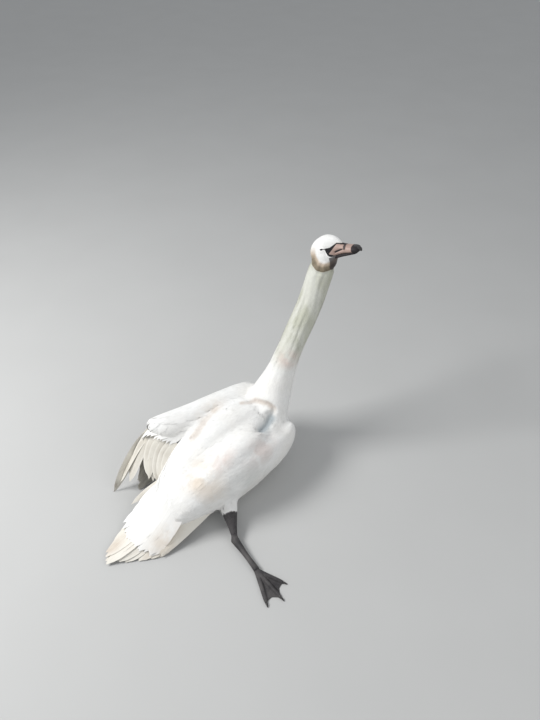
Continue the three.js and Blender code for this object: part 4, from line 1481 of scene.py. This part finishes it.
@dataclass(frozen=True)
class BillHorn(Horn):
    """Greyish pink horn with black edges, base and nostrils, and a thin line of painted shade along its
    ridge.
    """

    def dress(self, name: str, lower: bool) -> bpy.types.Material:
        """Builds the finish of the upper bill, or of the darker lower one."""
        graph = Graph(name)
        place = Place(graph)
        face = Face(place)
        x, z, side = face.x, face.z, abs(face.y)
        mottle = place.noise(60, 4)
        colour = graph.mix(mottle.step(0.35, 0.7) * 0.45, self.pink, self.dusk)
        if lower:
            mask = side.step(9, 12).most(x.step(80, 86)).most(x.step(34, 26))
            colour = graph.mix(0.6, colour, self.dusk)
        else:
            base = (x + z * 0.2).step(17.5, 15.5).most(face.dark)
            # Black at the base next to the feathers, running on as a thin line along the ridge that is
            # painted shade of its far side.
            black_base_and_ridge_shade = (z - face.line).step(-0.4, 0.6) * x.step(17, 19) * x.step(70, 64)
            edge = (z - (x * 0.055 - 25.2)).step(1.2, 0.0)
            tip = x.step(83.5, 86)
            slot = (abs(z - nostril_line(x)) / (4.0 - (x - 31) * 0.065)).step(1.0, 0.6)
            slot = slot * x.step(28.5, 30.5) * x.step(60, 57) * side.step(8, 11)
            mark = (((x - 64) / 4.4) ** 2 + ((z + 0.2) / 7.2) ** 2).step(1.2, 0.55) * side.step(1.5, 4)
            mask = base.most(black_base_and_ridge_shade).most(edge).most(tip).most(slot).most(mark * 0.9)
        mask = mask.clamped()
        colour = graph.mix(mask, colour, self.black)
        height = mottle + place.noise(420, 2) * 0.4
        return surface(graph, colour, 0.42 + 0.2 * mottle + 0.2 * mask, height, 0.0006, 0.35,
                       Specular_IOR_Level=0.45)


@dataclass(frozen=True)
class DarkHorn:
    """Black horn of the nail and claws."""

    dark: Colour = (0.02, 0.018, 0.0184, 1)
    worn: Colour = (0.052, 0.048, 0.046, 1)

    def dress(self, name: str) -> bpy.types.Material:
        """Builds the finish."""
        graph = Graph(name)
        grain = Place(graph).noise(130, 3)
        colour = graph.mix(grain.step(0.3, 0.8), self.dark, self.worn)
        return surface(graph, colour, 0.28 + 0.3 * grain, grain, 0.0004, 0.3, Specular_IOR_Level=0.5)


@dataclass(frozen=True)
class WetEye:
    """Dark brown iris round a black pupil, under a wet surface."""

    pupil: float = 0.42
    black: Colour = (0.002, 0.002, 0.002, 1)
    dark: Colour = (0.035, 0.016, 0.007, 1)
    light: Colour = (0.075, 0.036, 0.016, 1)

    def dress(self, name: str) -> bpy.types.Material:
        """Builds the finish, which reads how far a point is from the eye's middle on the head's side."""
        graph = Graph(name)
        place = Place(graph)
        x, _, z = place.axes(place.head)
        z = z - EYE_HEIGHT * 0.001
        radius = (x * x + z * z) ** 0.5 / (EYE_RADIUS * 0.001)
        streak = place.noise(600, 2)
        iris = graph.mix(streak, self.dark, self.light)
        colour = graph.mix(radius.step(self.pupil, self.pupil + 0.06), self.black, iris)
        return surface(graph, colour, 0.06 + 0.02 * streak, None, Coat_Weight=1.0, Coat_Roughness=0.03,
                       Specular_IOR_Level=0.6)


@dataclass
class Bill:
    """Upper bill, lower bill and nail."""

    upper: tuple[tuple[float, ...], ...] = (
        (2, 0, -9, 17, 17, 20, 16, 2.3), (12, 0, -8, 20, 20, 26, 17, 2.3), (24, 0, -8, 20, 20, 27, 16, 2.3),
        (37, 0, -7.5, 19.5, 19.5, 24, 15, 2.3), (51, 0, -8.5, 18.5, 18.5, 18, 12, 2.3),
        (66, 0, -10, 18.5, 18.5, 14, 10.5, 2.4), (81, 0, -11.5, 19.5, 19.5, 11, 9, 2.5),
        (93, 0, -12.5, 20, 20, 9.5, 8, 2.5), (101, 0, -14.5, 16, 16, 8, 7, 2.3),
        (106, 0, -17, 8, 8, 4, 4, 2),
    )
    lower: tuple[tuple[float, ...], ...] = (
        (4, 0, -30, 11, 11, 9, 8, 2.2), (14, 0, -29, 12.5, 12.5, 9, 7.5, 2.2),
        (24, 0, -28, 13.5, 13.5, 9, 6.5, 2.3), (45, 0, -25.5, 13.5, 13.5, 8, 5, 2.4),
        (71, 0, -23, 14.5, 14.5, 7, 5, 2.4),
        (88, 0, -22, 14.5, 14.5, 6.5, 4.5, 2.4), (98, 0, -22, 10, 10, 5, 3.5, 2.2),
    )
    nail: tuple[tuple[float, ...], ...] = (
        (84, 0, -4, 5, 5, 2, 4, 2.2), (91, 0, -4.8, 10, 10, 2.6, 5, 2.2), (99, 0, -8, 10.5, 10.5, 3, 6, 2.2),
        (106, 0, -13.5, 8.5, 8.5, 3, 6, 2.2), (109.5, 0, -18.5, 5, 5, 2, 4, 2),
    )

    def pressed(self, co: np.ndarray) -> np.ndarray:
        """Presses the nostrils and the line above the cutting edge into the upper bill."""
        co = co.copy()
        side = np.sign(co[:, 1])
        off_line = co[:, 2] - nostril_line(co[:, 0])
        slot = np.exp(-(((co[:, 0] - 44) / 15) ** 4)) * np.exp(-((off_line / 3.4) ** 2))
        on_side = smoothstep(10, 15, np.abs(co[:, 1]))
        co[:, 1] -= side * 4.0 * slot * on_side
        rim = np.exp(-(((co[:, 2] - (-22 + co[:, 0] * 0.06)) / 1.8) ** 2)) * smoothstep(20, 35, co[:, 0])
        co[:, 1] -= side * 0.8 * rim * on_side
        return co

    def build(self) -> None:
        """Adds the three pieces."""
        upper = lofted("bill_upper_horn", self.upper, 64, 72, self.pressed)
        finish = BillHorn().dress("bill_upper_finish", lower=False)
        add_piece("bill_upper_horn", upper, finish, ["bill_upper"])
        lower = lofted("bill_lower_horn", self.lower, 40, 40)
        finish = BillHorn().dress("bill_lower_finish", lower=True)
        add_piece("bill_lower_horn", lower, finish, ["bill_lower"])
        nail = lofted("nail", self.nail, 32, 24)
        add_piece("nail", nail, DarkHorn().dress("nail_finish"), ["bill_nail"])


@dataclass
class Eyes:
    """Both eyes, each with a nearly closed upper and lower lid."""

    radius: float = EYE_RADIUS
    out: float = 26.5
    height: float = EYE_HEIGHT
    lid: float = 0.7
    lid_thickness: float = 0.5
    upper_edge: float = 14.0
    lower_edge: float = 15.0

    def ball(self, side: int) -> bpy.types.Mesh:
        """Returns one eyeball's mesh."""
        bm = bmesh.new()
        bmesh.ops.create_uvsphere(bm, u_segments=32, v_segments=24, radius=self.radius * 0.001)
        return self.placed(bm, side, f"eyeball_{side}")

    def lids(self, side: int) -> bpy.types.Mesh:
        """Returns both lids of one eye: two slices of a slightly larger ball, with thickness."""
        bm = bmesh.new()
        for sign, edge in ((1, self.upper_edge), (-1, self.lower_edge)):
            part = bmesh.new()
            radius = (self.radius + self.lid) * 0.001
            bmesh.ops.create_uvsphere(part, u_segments=48, v_segments=32, radius=radius)
            tilt = math.radians(edge)
            normal = Vector((0, -math.sin(tilt) * side, math.cos(tilt) * sign))
            geometry = part.verts[:] + part.edges[:] + part.faces[:]
            bmesh.ops.bisect_plane(part, geom=geometry, plane_co=(0, 0, 0), plane_no=normal,
                                   clear_inner=True)
            bmesh.ops.recalc_face_normals(part, faces=part.faces)
            bmesh.ops.solidify(part, geom=part.faces[:], thickness=self.lid_thickness * 0.001)
            piece = closed(part, "lid_part")
            bm.from_mesh(piece)
            bpy.data.meshes.remove(piece)
        return self.placed(bm, side, f"lids_{side}")

    def placed(self, bm: bmesh.types.BMesh, side: int, name: str) -> bpy.types.Mesh:
        """Puts a bmesh made round the eye's centre in the head and returns its mesh."""
        place = head_matrix() @ Matrix.Translation(Vector(mm((0, side * self.out, self.height))))
        bmesh.ops.transform(bm, matrix=place, verts=bm.verts)
        return closed(bm, name, smooth=True)

    def build(self) -> None:
        """Adds both eyes with their lids."""
        lid_finish = Plumage().dress("lid_skin", False)
        eye_finish = WetEye().dress("eye_wet")
        for side, word in ((1, "left"), (-1, "right")):
            add_piece(f"eyeball_{word}", self.ball(side), eye_finish, [f"eye_{word}"])
            add_piece(f"lids_{word}", self.lids(side), lid_finish)


# ------------------------------------------------------------------------------------------- legs


@dataclass(frozen=True)
class ScaledSkin:
    """Dark grey leg skin with small scales."""

    dark: Colour = (0.030, 0.028, 0.030, 1)
    light: Colour = (0.105, 0.098, 0.095, 1)

    def dress(self, name: str) -> bpy.types.Material:
        """Builds the finish."""
        graph = Graph(name)
        place = Place(graph)
        scales = place.scales()
        cloud = place.noise(30, 4)
        tone = graph.mix(cloud.step(0.3, 0.7), self.dark, self.light)
        colour = graph.mix(scales * 0.6 + 0.4, self.dark, tone)
        return surface(graph, colour, 0.55 + 0.2 * cloud, scales + cloud * 0.6, 0.0006, 0.6,
                       Specular_IOR_Level=0.4)


@dataclass
class Legs:
    """Both bare shanks with their webbed feet, and the claws."""

    voxel: float = 0.0014
    swell: float = 0.0003
    rounds: int = 6

    def build(self) -> None:
        """Adds each leg as one skin, and its claws."""
        claw_finish = DarkHorn().dress("claw_horn")
        for word in ("left", "right"):
            nodes = [f"leg_{word}", f"foot_{word}"]
            bm = opened(shrink_wrapped(nodes, self.voxel, self.swell))
            drop_islands(bm)
            hide = Surface(bm)
            bm.free()
            co = hide.spread(hide.co, self.rounds)
            co[:, 2] = np.maximum(co[:, 2], 0.0)
            finish = ScaledSkin().dress(f"scaled_skin_{word}")
            add_piece(f"shank_{word}", hide.mesh(f"shank_{word}", co), finish, nodes)
            for number in (1, 2, 3):
                node = f"claw_{word}_{number}"
                claw = merged_copy(node, smooth=True)
                piece = add_piece(f"horn_{node}", claw, claw_finish, [node])
                rounding = piece.modifiers.new("Subdivision", "SUBSURF")
                rounding.levels = rounding.render_levels = 2


# ----------------------------------------------------------------------------------------- studio


@dataclass
class Studio:
    """Pale floor, soft lights and the camera."""

    camera_at: Point = (-0.6936, -0.9643, 1.62)
    right: Point = (0.71934, -0.69466, 0.0)
    up: Point = (0.46482, 0.48133, 0.74314)
    forward: Point = (0.51623, 0.53457, -0.66913)
    focal_px: float = 583.0
    frame_px: float = 720.0
    film: float = 36.0

    def camera(self) -> None:
        """Adds the camera at the viewing angle."""
        data = bpy.data.cameras.new("camera")
        data.sensor_width = self.film
        data.lens = self.film * self.focal_px / self.frame_px
        camera = add_object("camera", data)
        turn = Matrix((Vector(self.right), Vector(self.up), -Vector(self.forward))).transposed().to_4x4()
        camera.matrix_world = Matrix.Translation(Vector(self.camera_at)) @ turn
        bpy.context.scene.camera = camera

    def floor(self) -> None:
        """Adds the floor."""
        bm = bmesh.new()
        bmesh.ops.create_grid(bm, x_segments=1, y_segments=1, size=30)
        piece = add_object("floor", closed(bm, "floor"))
        graph = Graph("floor_paint")
        colour = graph.mix(Place(graph).noise(3, 2), (0.47, 0.47, 0.46, 1), (0.50, 0.50, 0.49, 1))
        piece.data.materials.append(surface(graph, colour, 0.9))

    def light(self, name: str, at: Point, size: float, power: float) -> None:
        """Adds a square soft light that looks at the bird's middle."""
        data = bpy.data.lights.new(name, "AREA")
        data.size = size
        data.energy = power
        aim = Vector((0, 0, 0.2)) - Vector(at)
        turn = aim.to_track_quat("-Z", "Y").to_matrix().to_4x4()
        add_object(name, data).matrix_world = Matrix.Translation(at) @ turn

    def build(self) -> None:
        """Adds floor, lights, surroundings and camera."""
        self.floor()
        self.light("key", (-1.7, 1.4, 2.5), 1.2, 96)
        self.light("fill", (0.4, -2.6, 1.8), 2.5, 20)
        world = bpy.data.worlds.new("studio")
        world.use_nodes = True
        background = world.node_tree.nodes["Background"]
        background.inputs[0].default_value = (0.93, 0.96, 1.0, 1)
        background.inputs[1].default_value = 0.52
        bpy.context.scene.world = world
        bpy.context.scene.view_settings.view_transform = "Standard"
        self.camera()


def main() -> None:
    """Builds the bird in order: skin, coat, flight feathers, bill, eyes and legs."""
    logging.basicConfig(level=logging.INFO, format="%(name)s %(message)s")
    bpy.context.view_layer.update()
    Studio().build()
    skin = Skin()
    skin.build()
    skin.dress()
    Coat(skin).build()
    rng = np.random.default_rng(SEED + 2)
    for fan in (tail_fan(), *(tail_coverts(row) for row in range(3)), *FANS):
        fan.build(rng)
    Bill().build()
    Eyes().build()
    Legs().build()


if __name__ == "__main__":
    main()
